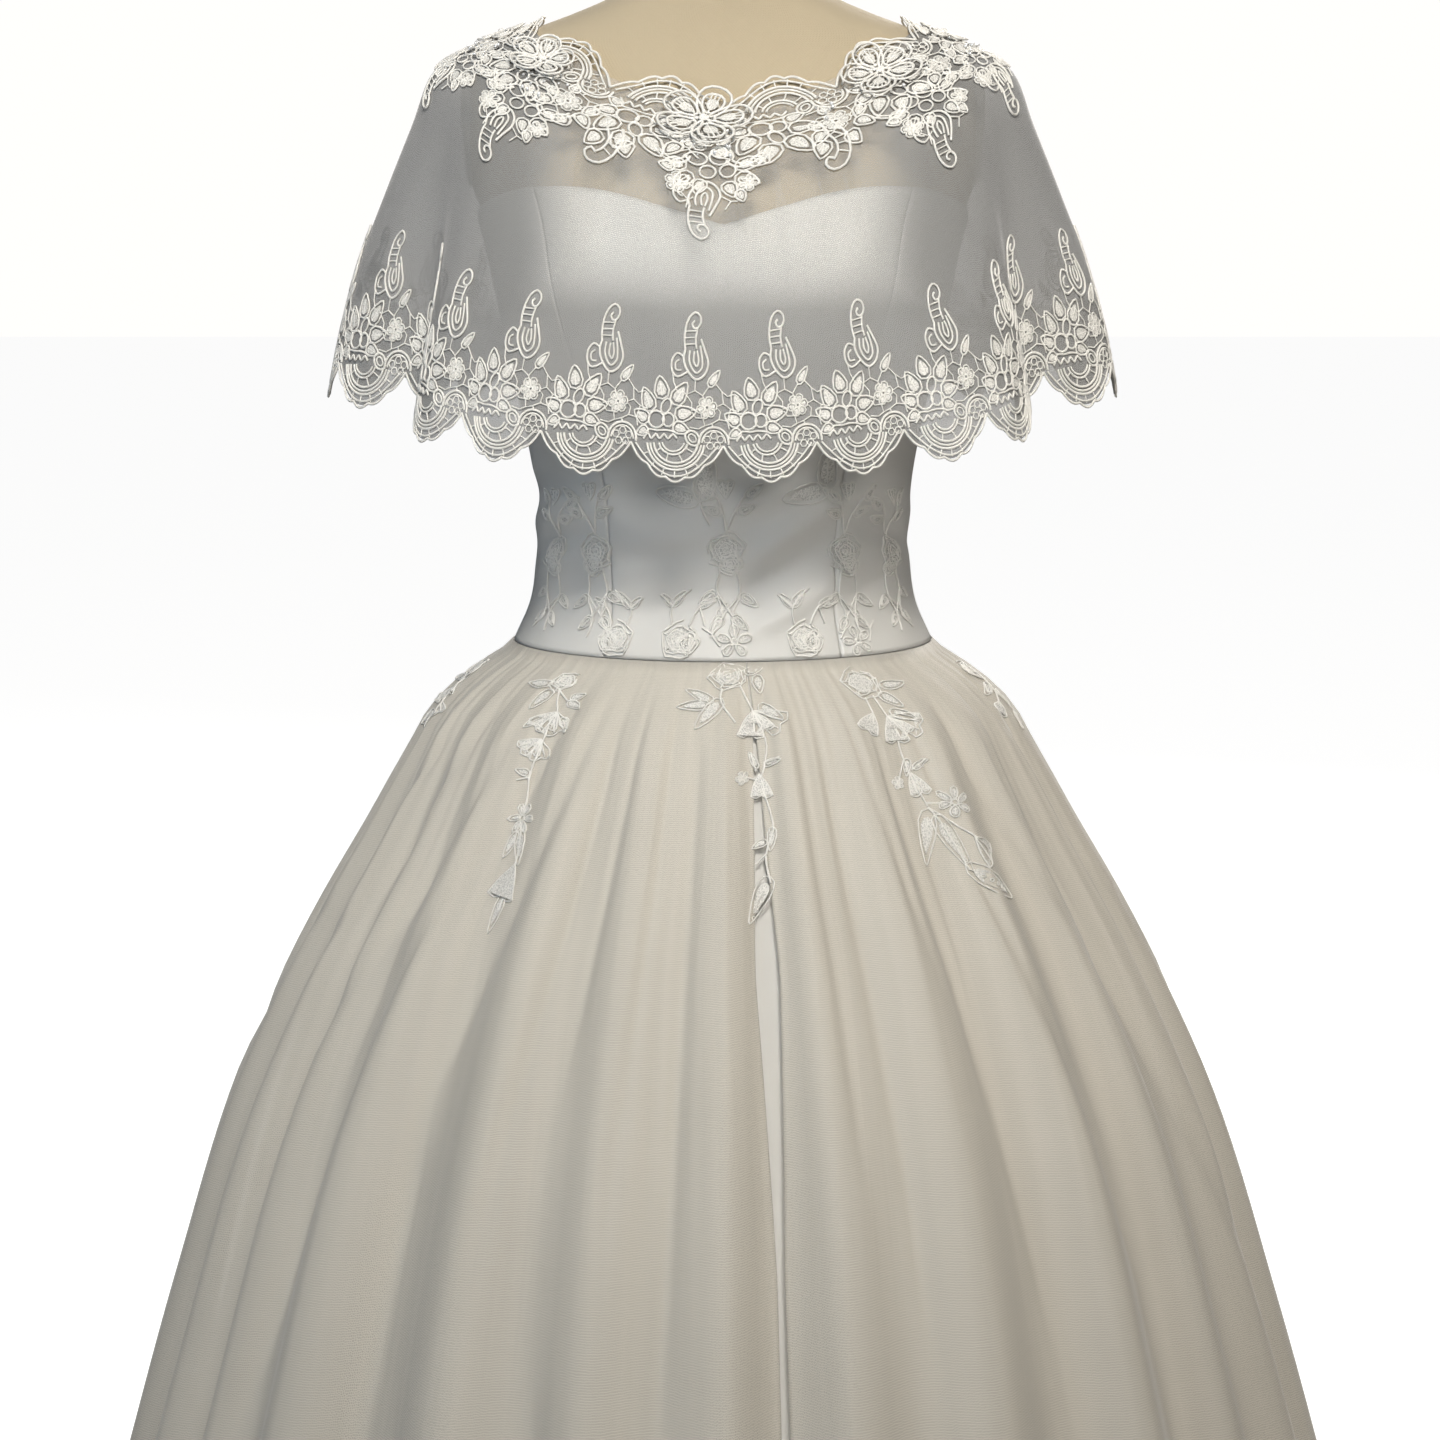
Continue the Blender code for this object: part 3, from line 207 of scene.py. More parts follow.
# Cape: drop is the share of the cloth's length below the neckline
CapeRing = namedtuple("CapeRing", "drop half_width front back z_front z_side z_back")
CAPE = [
    CapeRing(-0.05, 0.118, 0.077, 0.080, 1.431, 1.4770, 1.448),
    CapeRing(0.00, 0.130, 0.086, 0.090, 1.419, 1.4712, 1.437),
    CapeRing(0.135, 0.164, 0.109, 0.114, 1.393, 1.459, 1.413),
    CapeRing(0.270, 0.192, 0.131, 0.136, 1.363, 1.444, 1.382),
    CapeRing(0.415, 0.208, 0.150, 0.152, 1.331, 1.408, 1.345),
    CapeRing(0.572, 0.228, 0.165, 0.166, 1.293, 1.362, 1.306),
    CapeRing(0.722, 0.246, 0.178, 0.178, 1.255, 1.318, 1.270),
    CapeRing(0.855, 0.259, 0.190, 0.188, 1.222, 1.274, 1.238),
    CapeRing(1.00, 0.269, 0.201, 0.197, 1.188, 1.228, 1.204),
]
CAPE_FOLD_START = 0.22
CapeFold = namedtuple("CapeFold", "angle spread depth")
CAPE_FOLDS = [
    CapeFold(-62, 10, 0.046), CapeFold(62, 10, 0.046),
    CapeFold(-14, 8, 0.004), CapeFold(20, 9, 0.004),
    CapeFold(-121, 11, 0.032), CapeFold(121, 11, 0.032),
    CapeFold(-153, 9, 0.016), CapeFold(153, 9, 0.016),
]
CAPE_LOW, CAPE_HIGH = CAPE[0].drop, CAPE[-1].drop
HEM_REPEATS, HEM_FRONT_REPEATS = 26, 14
COLLAR_REPEATS, COLLAR_FRONT_REPEATS = 10, 6
SCALLOP_DEPTH = 22.0
COLLAR_SCALLOP_DEPTH = 20.0
REPEAT_WIDTH = 63.0

CollarFlower = namedtuple("CollarFlower", "name repeat down radius turn rise", defaults=[1.0])
COLLAR_FLOWERS = [
    CollarFlower("collar_flower_center", -0.15, 0.031, 0.024, 0),
    CollarFlower("collar_flower_left", -1.65, 0.030, 0.019, 40),
    CollarFlower("collar_flower_right", 1.40, 0.028, 0.023, 15),
    CollarFlower("collar_flower_shoulder_left", -2.50, 0.034, 0.019, 70, 0.1),
    CollarFlower("collar_flower_shoulder_right", 2.50, 0.034, 0.019, 25, 0.1),
    CollarFlower("collar_flower_back_left", -4.30, 0.034, 0.020, 10),
    CollarFlower("collar_flower_back_right", 4.30, 0.034, 0.020, 50),
]
# What hangs below the collar's band, at distances in repeats
Pendant = namedtuple("Pendant", "repeat kind")
PENDANTS = [
    Pendant(-2.15, "long"), Pendant(-1.45, "long"), Pendant(-0.78, "hook"), Pendant(-0.08, "long"),
    Pendant(0.74, "hook"), Pendant(1.45, "long"), Pendant(2.15, "long"),
    Pendant(3.30, "short"), Pendant(4.0, "long"), Pendant(5.0, "short"), Pendant(6.0, "long"), Pendant(6.70, "short"),
]

BeadCluster = namedtuple("BeadCluster", "repeat down count spread")
BEAD_CLUSTERS = [
    BeadCluster(-0.10, 0.052, 16, 0.011), BeadCluster(-1.45, 0.046, 14, 0.011),
    BeadCluster(1.55, 0.048, 14, 0.011), BeadCluster(2.25, 0.050, 12, 0.010),
    BeadCluster(-2.20, 0.052, 10, 0.010), BeadCluster(4.30, 0.056, 10, 0.010),
    BeadCluster(-4.30, 0.056, 10, 0.010), BeadCluster(0.80, 0.040, 6, 0.006),
]


# Settings

class DressFormSettings(bpy.types.PropertyGroup):
    linen_color: FloatVectorProperty(
        name="Linen", description="Colour of the linen cover", subtype="COLOR",
        default=(0.446, 0.373, 0.258), min=0, max=1,
    )
    threads: FloatProperty(
        name="Linen threads", description="Threads to the metre in the cover", default=900, min=100,
    )


class BodiceSettings(bpy.types.PropertyGroup):
    satin_color: FloatVectorProperty(
        name="Satin", description="Colour of the satin", subtype="COLOR",
        default=(0.72, 0.71, 0.68), min=0, max=1,
    )
    satin_thickness: FloatProperty(
        name="Satin thickness", description="Thickness of the satin with its backing",
        default=0.0008, min=0.0003, max=0.002, unit="LENGTH",
    )
    button_size: FloatProperty(
        name="Button size", description="Diameter of a covered button",
        default=0.0116, min=0.006, max=0.02, unit="LENGTH",
    )


class SkirtSettings(bpy.types.PropertyGroup):
    tulle_color: FloatVectorProperty(
        name="Tulle", description="Colour of the skirt's tulle", subtype="COLOR",
        default=(0.715, 0.675, 0.60), min=0, max=1,
    )
    tulle_cover: FloatProperty(
        name="Cover", description="How much of the satin the tulle hides",
        default=0.62, min=0, max=1, subtype="FACTOR",
    )
    gather_depth: FloatProperty(
        name="Gather depth", description="Depth of the small gathers below the waist",
        default=0.0024, min=0, max=0.004, unit="LENGTH",
    )
    tulle_thickness: FloatProperty(
        name="Tulle thickness", description="Thickness of the gathered tulle",
        default=0.0005, min=0.0002, max=0.002, unit="LENGTH",
    )


class CapeSettings(bpy.types.PropertyGroup):
    tulle_color: FloatVectorProperty(
        name="Tulle", description="Colour of the cape's tulle", subtype="COLOR",
        default=(0.64, 0.64, 0.63), min=0, max=1,
    )
    tulle_cover: FloatProperty(
        name="Cover", description="How much of what is behind it the cape hides",
        default=0.20, min=0, max=1, subtype="FACTOR",
    )


class LaceSettings(bpy.types.PropertyGroup):
    lace_color: FloatVectorProperty(
        name="Lace", description="Colour of the lace thread", subtype="COLOR",
        default=(0.80, 0.785, 0.745), min=0, max=1,
    )
    cord_scale: FloatProperty(
        name="Cord thickness", description="Thickness of the cords against the chart",
        default=1.2, min=0.5, max=1.6, subtype="FACTOR",
    )
    flower_rise: FloatProperty(
        name="Petal rise", description="How far the tips of the loose flowers stand off the collar",
        default=0.0045, min=0, max=0.012, unit="LENGTH",
    )
    bead_size: FloatProperty(
        name="Bead size", description="Diameter of a large bead",
        default=0.0030, min=0.001, max=0.005, unit="LENGTH",
    )


class StageSettings(bpy.types.PropertyGroup):
    camera_height: FloatProperty(
        name="Camera height", description="Height of the camera above the floor",
        default=1.34, min=0, unit="LENGTH",
    )
    camera_distance: FloatProperty(
        name="Camera distance", description="Distance of the camera in front of the dress",
        default=1.70, min=0.5, unit="LENGTH",
    )
    camera_tilt: FloatProperty(
        name="Camera tilt", description="How far the camera looks down",
        default=math.radians(11.3), subtype="ANGLE",
    )
    camera_lens: FloatProperty(
        name="Focal length", description="Focal length on a 36 mm sensor",
        default=61.35, min=10, unit="CAMERA",
    )
    sides: IntProperty(
        name="Round steps", description="Steps round the base plate and the pole", default=96, min=16,
    )


# Curves and surfaces, each for many points at once

def column_at(table, column, at):
    """One column of a table at values of its first column, on a smooth curve through the rows."""
    keys = np.array([row[0] for row in table], dtype=float)
    values = np.array([getattr(row, column) for row in table], dtype=float)
    slopes = np.gradient(values, keys)
    at = np.asarray(at, dtype=float)
    inside = np.clip(at, keys[0], keys[-1])
    i = np.clip(np.searchsorted(keys, inside, side="right") - 1, 0, len(keys) - 2)
    span = keys[i + 1] - keys[i]
    t = (inside - keys[i]) / span
    beyond = (at - inside) * np.where(at < keys[0], slopes[0], slopes[-1])
    return (
        (2 * t**3 - 3 * t**2 + 1) * values[i]
        + (t**3 - 2 * t**2 + t) * span * slopes[i]
        + (3 * t**2 - 2 * t**3) * values[i + 1]
        + (t**3 - t**2) * span * slopes[i + 1]
        + beyond
    )


def straight_at(table, column, at):
    """One column of a table at values of its first column, straight between the rows."""
    return np.interp(at, [row[0] for row in table], [getattr(row, column) for row in table])


def wrapped(angle):
    """The same angles between -180 and 180."""
    return (np.asarray(angle, dtype=float) + 180.0) % 360.0 - 180.0


def bell(distance, spread):
    """A smooth bump that is 1 in the middle and fades over its spread."""
    return np.exp(-((distance / spread) ** 2))


def eased(value):
    """A soft step from 0 to 1."""
    t = np.clip(value, 0, 1)
    return t * t * (3 - 2 * t)


def oval(angle, half_width, front, back, z):
    """Points on level ovals whose front and back halves have their own depths."""
    turn = np.radians(angle)
    depth = np.where(np.cos(turn) >= 0, front, back)
    return np.stack(np.broadcast_arrays(half_width * np.sin(turn), -depth * np.cos(turn), z), axis=-1)


def form_face(angle, z, out=0.0):
    """The padded form, or a face that far outside it."""
    angle = wrapped(angle)
    sizes = [column_at(FORM, column, z) + out for column in ("half_width", "front", "back")]
    points = oval(angle, *sizes, z)
    bust = BUST_DEPTH * bell(z - BUST_Z, BUST_TALL)
    bust = bust * (bell(angle - BUST_ANGLE, BUST_SPREAD) + bell(angle + BUST_ANGLE, BUST_SPREAD))
    turn = np.radians(angle)
    points[..., 0] += np.sin(turn) * bust
    points[..., 1] -= np.cos(turn) * bust
    limit = ARM_FLAT + out
    points[..., 0] = np.clip(points[..., 0], -limit, limit)
    return points


def bodice_face(angle, z):
    """The outer face of the satin bodice, with the wrinkles that it has at the waist."""
    angle = wrapped(angle)
    dip = np.zeros(np.broadcast(angle, z).shape)
    for wrinkle in WAIST_WRINKLES:
        line = wrinkle.z + (angle - wrinkle.angle) * wrinkle.slope
        reach = bell(wrapped(angle - wrinkle.angle), wrinkle.length)
        dip = dip + wrinkle.depth * MM * bell(z - line, wrinkle.height) * reach
    out = BODICE_OUT - np.clip(dip, -5.0 * MM, 3.8 * MM)
    return form_face(angle, z, out)


def fold_share(angle):
    """How far the tulle dips below its crests at an angle, as a share of the full fold depth."""
    angle = wrapped(angle)
    crests = np.array([fold.crest for fold in FOLDS] + [180.0])
    shares = np.array([fold.depth_share for fold in FOLDS])
    i = np.clip(np.searchsorted(crests, angle, side="right") - 1, 0, len(shares) - 1)
    t = (angle - crests[i]) / (crests[i + 1] - crests[i])
    return shares[i] * (0.5 - 0.5 * np.cos(2 * np.pi * t))


def skirt_oval(angle, z, inset=0.0):
    """The ovals that the tulle's crests lie on, or that far inside them."""
    sizes = [column_at(SKIRT, column, z) - inset for column in ("half_width", "front", "back")]
    return oval(wrapped(angle), *sizes, z)


def gathers(angle, z):
    """Small uneven gathers that hang from the waist seam and fade into the big folds."""
    angle = wrapped(angle)
    waves = (
        np.sin(np.radians(angle) * 62 + 1.1 * np.sin(np.radians(angle) * 7))
        + 0.8 * np.sin(np.radians(angle) * 97 + 2.0 + 0.9 * np.sin(np.radians(angle) * 11))
        + 0.5 * np.sin(np.radians(angle) * 151 + 0.7)
    )
    strength = 0.65 + 0.35 * np.sin(np.radians(angle) * 5 + 0.6)
    fade = eased((z - 0.60) / 0.38) * eased((SKIRT_TOP_Z + 0.003 - z) / 0.010)
    return (waves / 2.3 - 1) * 0.5 * strength * fade


def crease_dip(angle, z):
    """Depth of the pressed creases of the tulle."""
    dip = np.zeros(np.broadcast(angle, z).shape)
    for crease in TULLE_CREASES:
        t = (crease.top_z - z) / (crease.top_z - crease.low_z)
        line = crease.top_angle + (crease.low_angle - crease.top_angle) * np.clip(t, 0, 1)
        ends = eased(t / 0.15) * eased((1.15 - t) / 0.3)
        dip = dip + CREASE_GAIN * crease.depth * MM * bell(wrapped(angle - line), crease.width) * ends
    return dip


def tulle_face(angle, z):
    """The outer face of the gathered tulle."""
    gather_depth = bpy.context.scene.dress_skirt.gather_depth
    depth = column_at(SKIRT, "fold_depth", z) * fold_share(angle)
    room = np.clip(column_at(SKIRT, "satin_inset", z) - depth - 1.6 * MM, 0, 1)
    fine = crease_dip(angle, z) - gathers(angle, z) * gather_depth
    return skirt_oval(angle, z, depth + np.minimum(fine, room))


def satin_face(angle, z):
    """The outer face of the satin skirt under the tulle."""
    turn = np.radians(wrapped(angle))
    flute = (np.sin(turn * 9 + 0.6) + 0.6 * np.sin(turn * 14 + 2.2)) * 0.0022
    flute = flute * eased((1.0 - z) / 0.5)
    return skirt_oval(angle, z, column_at(SKIRT, "satin_inset", z) + 0.0022 * eased((1.0 - z) / 0.5) + flute * 0.5)


def cape_face(angle, drop):
    """The outer face of the cape's tulle, with its folds running down from the shoulders."""
    angle = wrapped(angle)
    drop = np.asarray(drop, dtype=float)
    ring = {name: column_at(CAPE, name, drop) for name in CapeRing._fields[1:]}
    sideways = np.sin(np.radians(angle)) ** 2
    middle = np.where(np.abs(angle) < 90, ring["z_front"], ring["z_back"])
    z = middle * (1 - sideways) + ring["z_side"] * sideways
    points = oval(angle, ring["half_width"], ring["front"], ring["back"], z)
    ease = eased((drop - CAPE_FOLD_START) / (1 - CAPE_FOLD_START))
    dip = sum(fold.depth * bell(wrapped(angle - fold.angle), fold.spread) for fold in CAPE_FOLDS)
    soft = 0.0011 * np.sin(np.radians(angle) * 17 + 0.8) + 0.0008 * np.sin(np.radians(angle) * 29 + 2.1)
    level = points[..., :2] / np.linalg.norm(points[..., :2], axis=-1, keepdims=True)
    points[..., :2] -= level * ((dip + soft) * ease)[..., None]
    return points


def lifted(face, u, v, lift, steps=(0.05, 0.0005)):
    """Points of a face moved out along its normal."""
    u, v = np.asarray(u, dtype=float), np.asarray(v, dtype=float)
    across = face(u + steps[0], v) - face(u - steps[0], v)
    along = face(u, v + steps[1]) - face(u, v - steps[1])
    normal = np.cross(across, along)
    normal /= np.linalg.norm(normal, axis=-1, keepdims=True)
    points = face(u, v)
    outward = points * (1, 1, 0) + (0, 0, 0.05)
    normal *= np.sign(np.sum(normal * outward, axis=-1, keepdims=True))
    return points + normal * np.asarray(lift, dtype=float)[..., None]


CAPE_OUT = 1.2 * MM


def cape_outer(angle, drop, lift=0.0):
    """The cape's outer face with its wall, or a face that far above it."""
    return lifted(cape_face, angle, drop, np.zeros(np.broadcast(angle, drop).shape) + CAPE_OUT + lift)


class CapeMeasure:
    """Lengths along and round the cape, to place repeats of lace."""

    def __init__(self, row, repeats):
        self.angles = np.linspace(-190, 190, 761)
        line = cape_face(self.angles, np.full(self.angles.shape, float(row)))
        steps = np.linalg.norm(np.diff(line, axis=0), axis=1)
        run = np.concatenate([[0.0], np.cumsum(steps)])
        self.run = run - np.interp(0.0, self.angles, run)
        ends = np.interp([-180.0, 180.0], self.angles, self.run)
        self.repeats = repeats
        self.repeat = float(ends[1] - ends[0]) / repeats
        drops = np.linspace(0, 1, 41)
        grid = cape_face(self.angles[:, None], drops[None, :])
        self.lengths = np.linalg.norm(np.diff(grid, axis=1), axis=2).sum(axis=1)

    def angle_at(self, x):
        """The angle at a distance in repeats."""
        x = (np.asarray(x) + self.repeats / 2) % self.repeats - self.repeats / 2
        return np.interp(x * self.repeat, self.run, self.angles)

    def length_at(self, angle):
        """The cloth's length from neckline to hem."""
        return np.interp(angle, self.angles, self.lengths)


# Materials

def add_node(tree, kind, links=(), **settings):
    """A node with its settings, and its sockets linked or set from (socket, source) pairs."""
    node = tree.nodes.new(kind)
    for key, value in settings.items():
        setattr(node, key, value)
    for socket, source in links:
        target = node.inputs[socket]
        if isinstance(source, bpy.types.NodeSocket):
            tree.links.new(source, target)
        else:
            target.default_value = source
    return node


def new_group(name, inputs, outputs):
    """A shader node group with named sockets, and its input and output nodes."""
    group = bpy.data.node_groups.new(name, "ShaderNodeTree")
    for label, kind, default in inputs:
        socket = group.interface.new_socket(label, in_out="INPUT", socket_type=kind)
        if default is not None:
            socket.default_value = default
    for label, kind in outputs:
        group.interface.new_socket(label, in_out="OUTPUT", socket_type=kind)
    return group, group.nodes.new("NodeGroupInput"), group.nodes.new("NodeGroupOutput")


def math_node(tree, operation, first, second=None):
    """The output of a maths node."""
    links = [(0, first)] + ([(1, second)] if second is not None else [])
    return add_node(tree, "ShaderNodeMath", links, operation=operation).outputs[0]


def weave_group():
    """Plain weave: threads over and under each other, as a height."""
    name = "cloth_weave"
    if name in bpy.data.node_groups:
        return bpy.data.node_groups[name]
    group, entry, leave = new_group(
        name,
        [("Vector", "NodeSocketVector", None), ("Threads", "NodeSocketFloat", 1000.0)],
        [("Height", "NodeSocketFloat")],
    )
    scaled = add_node(
        group, "ShaderNodeVectorMath",
        [(0, entry.outputs["Vector"]), ("Scale", entry.outputs["Threads"])], operation="SCALE",
    )
    split = add_node(group, "ShaderNodeSeparateXYZ", [(0, scaled.outputs[0])])
    warp = math_node(group, "SINE", math_node(group, "MULTIPLY", split.outputs[0], math.pi))
    weft = math_node(group, "SINE", math_node(group, "MULTIPLY", split.outputs[1], math.pi))
    both = math_node(group, "MULTIPLY", warp, weft)
    group.links.new(math_node(group, "MULTIPLY_ADD", both, 0.5), leave.inputs["Height"])
    return group


def drift_group():
    """Slow, uneven change between two tones of one cloth."""
    name = "tone_drift"
    if name in bpy.data.node_groups:
        return bpy.data.node_groups[name]
    group, entry, leave = new_group(
        name,
        [
            ("Tone A", "NodeSocketColor", None),
            ("Tone B", "NodeSocketColor", None),
            ("Patch Scale", "NodeSocketFloat", 6.0),
        ],
        [("Color", "NodeSocketColor"), ("Mask", "NodeSocketFloat")],
    )
    where = add_node(group, "ShaderNodeTexCoord")
    noise = add_node(
        group, "ShaderNodeTexNoise",
        [("Vector", where.outputs["Object"]), ("Scale", entry.outputs["Patch Scale"]), ("Detail", 3.0)],
    )
    mix = add_node(group, "ShaderNodeMix", data_type="RGBA")
    group.links.new(noise.outputs["Fac"], mix.inputs["Factor"])
    group.links.new(entry.outputs["Tone A"], mix.inputs[6])
    group.links.new(entry.outputs["Tone B"], mix.inputs[7])
    group.links.new(mix.outputs[2], leave.inputs["Color"])
    group.links.new(noise.outputs["Fac"], leave.inputs["Mask"])
    return group


def net_group():
    """Hexagonal net: 1 on the threads and 0 in the holes."""
    name = "tulle_net"
    if name in bpy.data.node_groups:
        return bpy.data.node_groups[name]
    group, entry, leave = new_group(
        name,
        [("Vector", "NodeSocketVector", None), ("Holes", "NodeSocketFloat", 700.0)],
        [("Threads", "NodeSocketFloat")],
    )
    cells = add_node(
        group, "ShaderNodeTexVoronoi",
        [
            ("Vector", entry.outputs["Vector"]), ("Scale", entry.outputs["Holes"]),
            ("Randomness", 0.65),
        ],
        voronoi_dimensions="2D", feature="DISTANCE_TO_EDGE",
    )
    ridge = add_node(
        group, "ShaderNodeMapRange",
        [(0, cells.outputs["Distance"]), (1, 0.05), (2, 0.25), (3, 1.0), (4, 0.0)],
    )
    group.links.new(ridge.outputs[0], leave.inputs["Threads"])
    return group


def new_material(name, roughness, **fixed):
    """A material with a Principled shader and its fixed values."""
    material = bpy.data.materials.new(name)
    material.use_nodes = True
    shader = material.node_tree.nodes["Principled BSDF"]
    shader.inputs["Roughness"].default_value = roughness
    for label, value in fixed.items():
        shader.inputs[label.replace("_", " ")].default_value = value
    return material, material.node_tree, shader


def tones(tree, shader, color, spread, scale):
    """Colour the shader with a slow drift between two tones of a colour."""
    low = tuple(c * (1 - spread) for c in color) + (1.0,)
    high = tuple(min(1.0, c * (1 + spread)) for c in color) + (1.0,)
    group = add_node(
        tree, "ShaderNodeGroup", [("Tone A", low), ("Tone B", high), ("Patch Scale", scale)],
        node_tree=drift_group(),
    ) if False else tree.nodes.new("ShaderNodeGroup")
    group.node_tree = drift_group()
    group.inputs["Tone A"].default_value = low
    group.inputs["Tone B"].default_value = high
    group.inputs["Patch Scale"].default_value = scale
    tree.links.new(group.outputs["Color"], shader.inputs["Base Color"])
    return group


def bump(tree, shader, height, distance, strength=1.0):
    """Feed a height into the shader's normal."""
    node = add_node(
        tree, "ShaderNodeBump", [("Height", height), ("Distance", distance), ("Strength", strength)]
    )
    tree.links.new(node.outputs["Normal"], shader.inputs["Normal"])


def weave_height(tree, threads):
    """The height of a weave on the piece's own UV map, which is in metres."""
    where = tree.nodes.new("ShaderNodeUVMap")
    group = tree.nodes.new("ShaderNodeGroup")
    group.node_tree = weave_group()
    tree.links.new(where.outputs[0], group.inputs["Vector"])
    group.inputs["Threads"].default_value = threads
    return group.outputs["Height"]


def fine_noise(tree, scale, detail=2.0):
    """Fine noise on Object coordinates."""
    where = tree.nodes.new("ShaderNodeTexCoord")
    noise = add_node(
        tree, "ShaderNodeTexNoise",
        [("Vector", where.outputs["Object"]), ("Scale", scale), ("Detail", detail)],
    )
    return noise.outputs["Fac"]


def linen_material(settings):
    if "form_linen" in bpy.data.materials:
        return bpy.data.materials["form_linen"]
    material, tree, shader = new_material("form_linen", 0.86, Sheen_Weight=0.15)
    tones(tree, shader, settings.linen_color, 0.07, 9.0)
    slubs = math_node(tree, "MULTIPLY", fine_noise(tree, 420), 0.8)
    height = math_node(tree, "ADD", weave_height(tree, settings.threads), slubs)
    bump(tree, shader, height, 0.00025, 0.7)
    return material


def satin_material(settings):
    if "bodice_satin" in bpy.data.materials:
        return bpy.data.materials["bodice_satin"]
    material, tree, shader = new_material(
        "bodice_satin", 0.28, Sheen_Weight=0.2, Sheen_Roughness=0.35, Specular_IOR_Level=0.75
    )
    tones(tree, shader, settings.satin_color, 0.025, 5.0)
    soft = math_node(tree, "MULTIPLY", fine_noise(tree, 17, 2.0), 14.0)
    height = math_node(tree, "ADD", weave_height(tree, 2600), soft)
    bump(tree, shader, height, 0.0003, 0.5)
    return material


def tulle_material(name, color, cover, holes, side=None, streaks=0.0):
    """Net with its cover; side is how much cover is added on the sides and below the bust, where the colour is also
    darkened to half: painted shade, in part also denser cloth where it hangs free of the bodice.
    """
    if name in bpy.data.materials:
        return bpy.data.materials[name]
    material, tree, shader = new_material(name, 0.72, Sheen_Weight=0.35, Sheen_Roughness=0.5)
    group = tones(tree, shader, color, 0.03, 4.0)
    where = tree.nodes.new("ShaderNodeUVMap")
    net = tree.nodes.new("ShaderNodeGroup")
    net.node_tree = net_group()
    tree.links.new(where.outputs[0], net.inputs["Vector"])
    net.inputs["Holes"].default_value = holes
    drift = math_node(tree, "MULTIPLY_ADD", fine_noise(tree, 8), 0.12)
    tree.nodes[-1].inputs[2].default_value = 0.0
    threads = add_node(
        tree, "ShaderNodeMapRange",
        [(0, net.outputs["Threads"]), (1, 0.0), (2, 1.0), (3, cover - 0.14), (4, cover + 0.14)],
    )
    total = math_node(tree, "SUBTRACT", math_node(tree, "ADD", threads.outputs[0], drift), 0.06)
    if streaks:
        long_ways = add_node(
            tree, "ShaderNodeMapping", [("Vector", where.outputs[0]), ("Scale", (30.0, 1.5, 1.0))]
        )
        pulled = add_node(
            tree, "ShaderNodeTexNoise",
            [("Vector", long_ways.outputs[0]), ("Scale", 1.0), ("Detail", 3.0), ("Roughness", 0.55)],
        )
        level = math_node(tree, "SUBTRACT", pulled.outputs["Fac"], 0.5)
        total = math_node(tree, "ADD", total, math_node(tree, "MULTIPLY", level, streaks))
        bump(tree, shader, pulled.outputs["Fac"], 0.003, 0.35)
    # Painted shade: beyond |x| 0.086 to 0.132 m, and below the bust from z 1.335 down to 1.270 m, the tulle's colour
    # is darkened to half and its cover raised
    if side:
        spot = tree.nodes.new("ShaderNodeTexCoord")
        split = add_node(tree, "ShaderNodeSeparateXYZ", [(0, spot.outputs["Object"])])
        beyond = add_node(
            tree, "ShaderNodeMapRange",
            [(0, math_node(tree, "ABSOLUTE", split.outputs[0])), (1, 0.086), (2, 0.132), (3, 0.0), (4, 1.0)],
            interpolation_type="SMOOTHSTEP",
        )
        below = add_node(
            tree, "ShaderNodeMapRange",
            [(0, split.outputs[2]), (1, 1.335), (2, 1.270), (3, 0.0), (4, 1.35)],
            interpolation_type="SMOOTHSTEP",
        )
        # loose marks where shade is painted: the larger of the side mask and the under-bust mask
        loose = math_node(tree, "MAXIMUM", beyond.outputs[0], below.outputs[0])
        # The cover rises where shade is painted; only part of this is denser cloth hanging free of the bodice
        total = math_node(tree, "ADD", total, math_node(tree, "MULTIPLY", loose, side))
        # Painted shade: the tulle's colour is mixed towards half its tone by that mask
        shade = add_node(tree, "ShaderNodeMix", data_type="RGBA")
        shade.inputs[7].default_value = tuple(c * 0.50 for c in color) + (1.0,)
        tree.links.new(loose, shade.inputs["Factor"])
        tree.links.new(group.outputs["Color"], shade.inputs[6])
        tree.links.new(shade.outputs[2], shader.inputs["Base Color"])
    tree.links.new(total, shader.inputs["Alpha"])
    return material


def lace_material(settings):
    if "guipure_cord" in bpy.data.materials:
        return bpy.data.materials["guipure_cord"]
    material, tree, shader = new_material("guipure_cord", 0.55, Sheen_Weight=0.3, Sheen_Roughness=0.4)
    tones(tree, shader, settings.lace_color, 0.04, 60.0)
    bump(tree, shader, fine_noise(tree, 1500, 2.0), 0.0004, 0.8)
    return material


def stitch_material(settings):
    if "lace_stitch" in bpy.data.materials:
        return bpy.data.materials["lace_stitch"]
    material, tree, shader = new_material("lace_stitch", 0.66, Sheen_Weight=0.2)
    tones(tree, shader, [tone * 0.94 for tone in settings.lace_color], 0.08, 240.0)
    rows = fine_noise(tree, 1100, 1.0)
    bump(tree, shader, rows, 0.0006, 1.0)
    cover = add_node(tree, "ShaderNodeMapRange", [(0, rows), (1, 0.35), (2, 0.60), (3, 0.60), (4, 1.0)])
    tree.links.new(cover.outputs[0], shader.inputs["Alpha"])
    return material


def bead_material():
    if "pearl_bead" in bpy.data.materials:
        return bpy.data.materials["pearl_bead"]
    material, tree, shader = new_material("pearl_bead", 0.08, Coat_Weight=1.0, Coat_Roughness=0.03, Metallic=0.35)
    tones(tree, shader, (0.86, 0.87, 0.88), 0.10, 260.0)
    return material


def paint_material():
    if "stand_enamel" in bpy.data.materials:
        return bpy.data.materials["stand_enamel"]
    material, tree, shader = new_material("stand_enamel", 0.42, Coat_Weight=0.3)
    tones(tree, shader, (0.66, 0.645, 0.61), 0.04, 12.0)
    bump(tree, shader, fine_noise(tree, 500), 0.0001, 0.4)
    return material


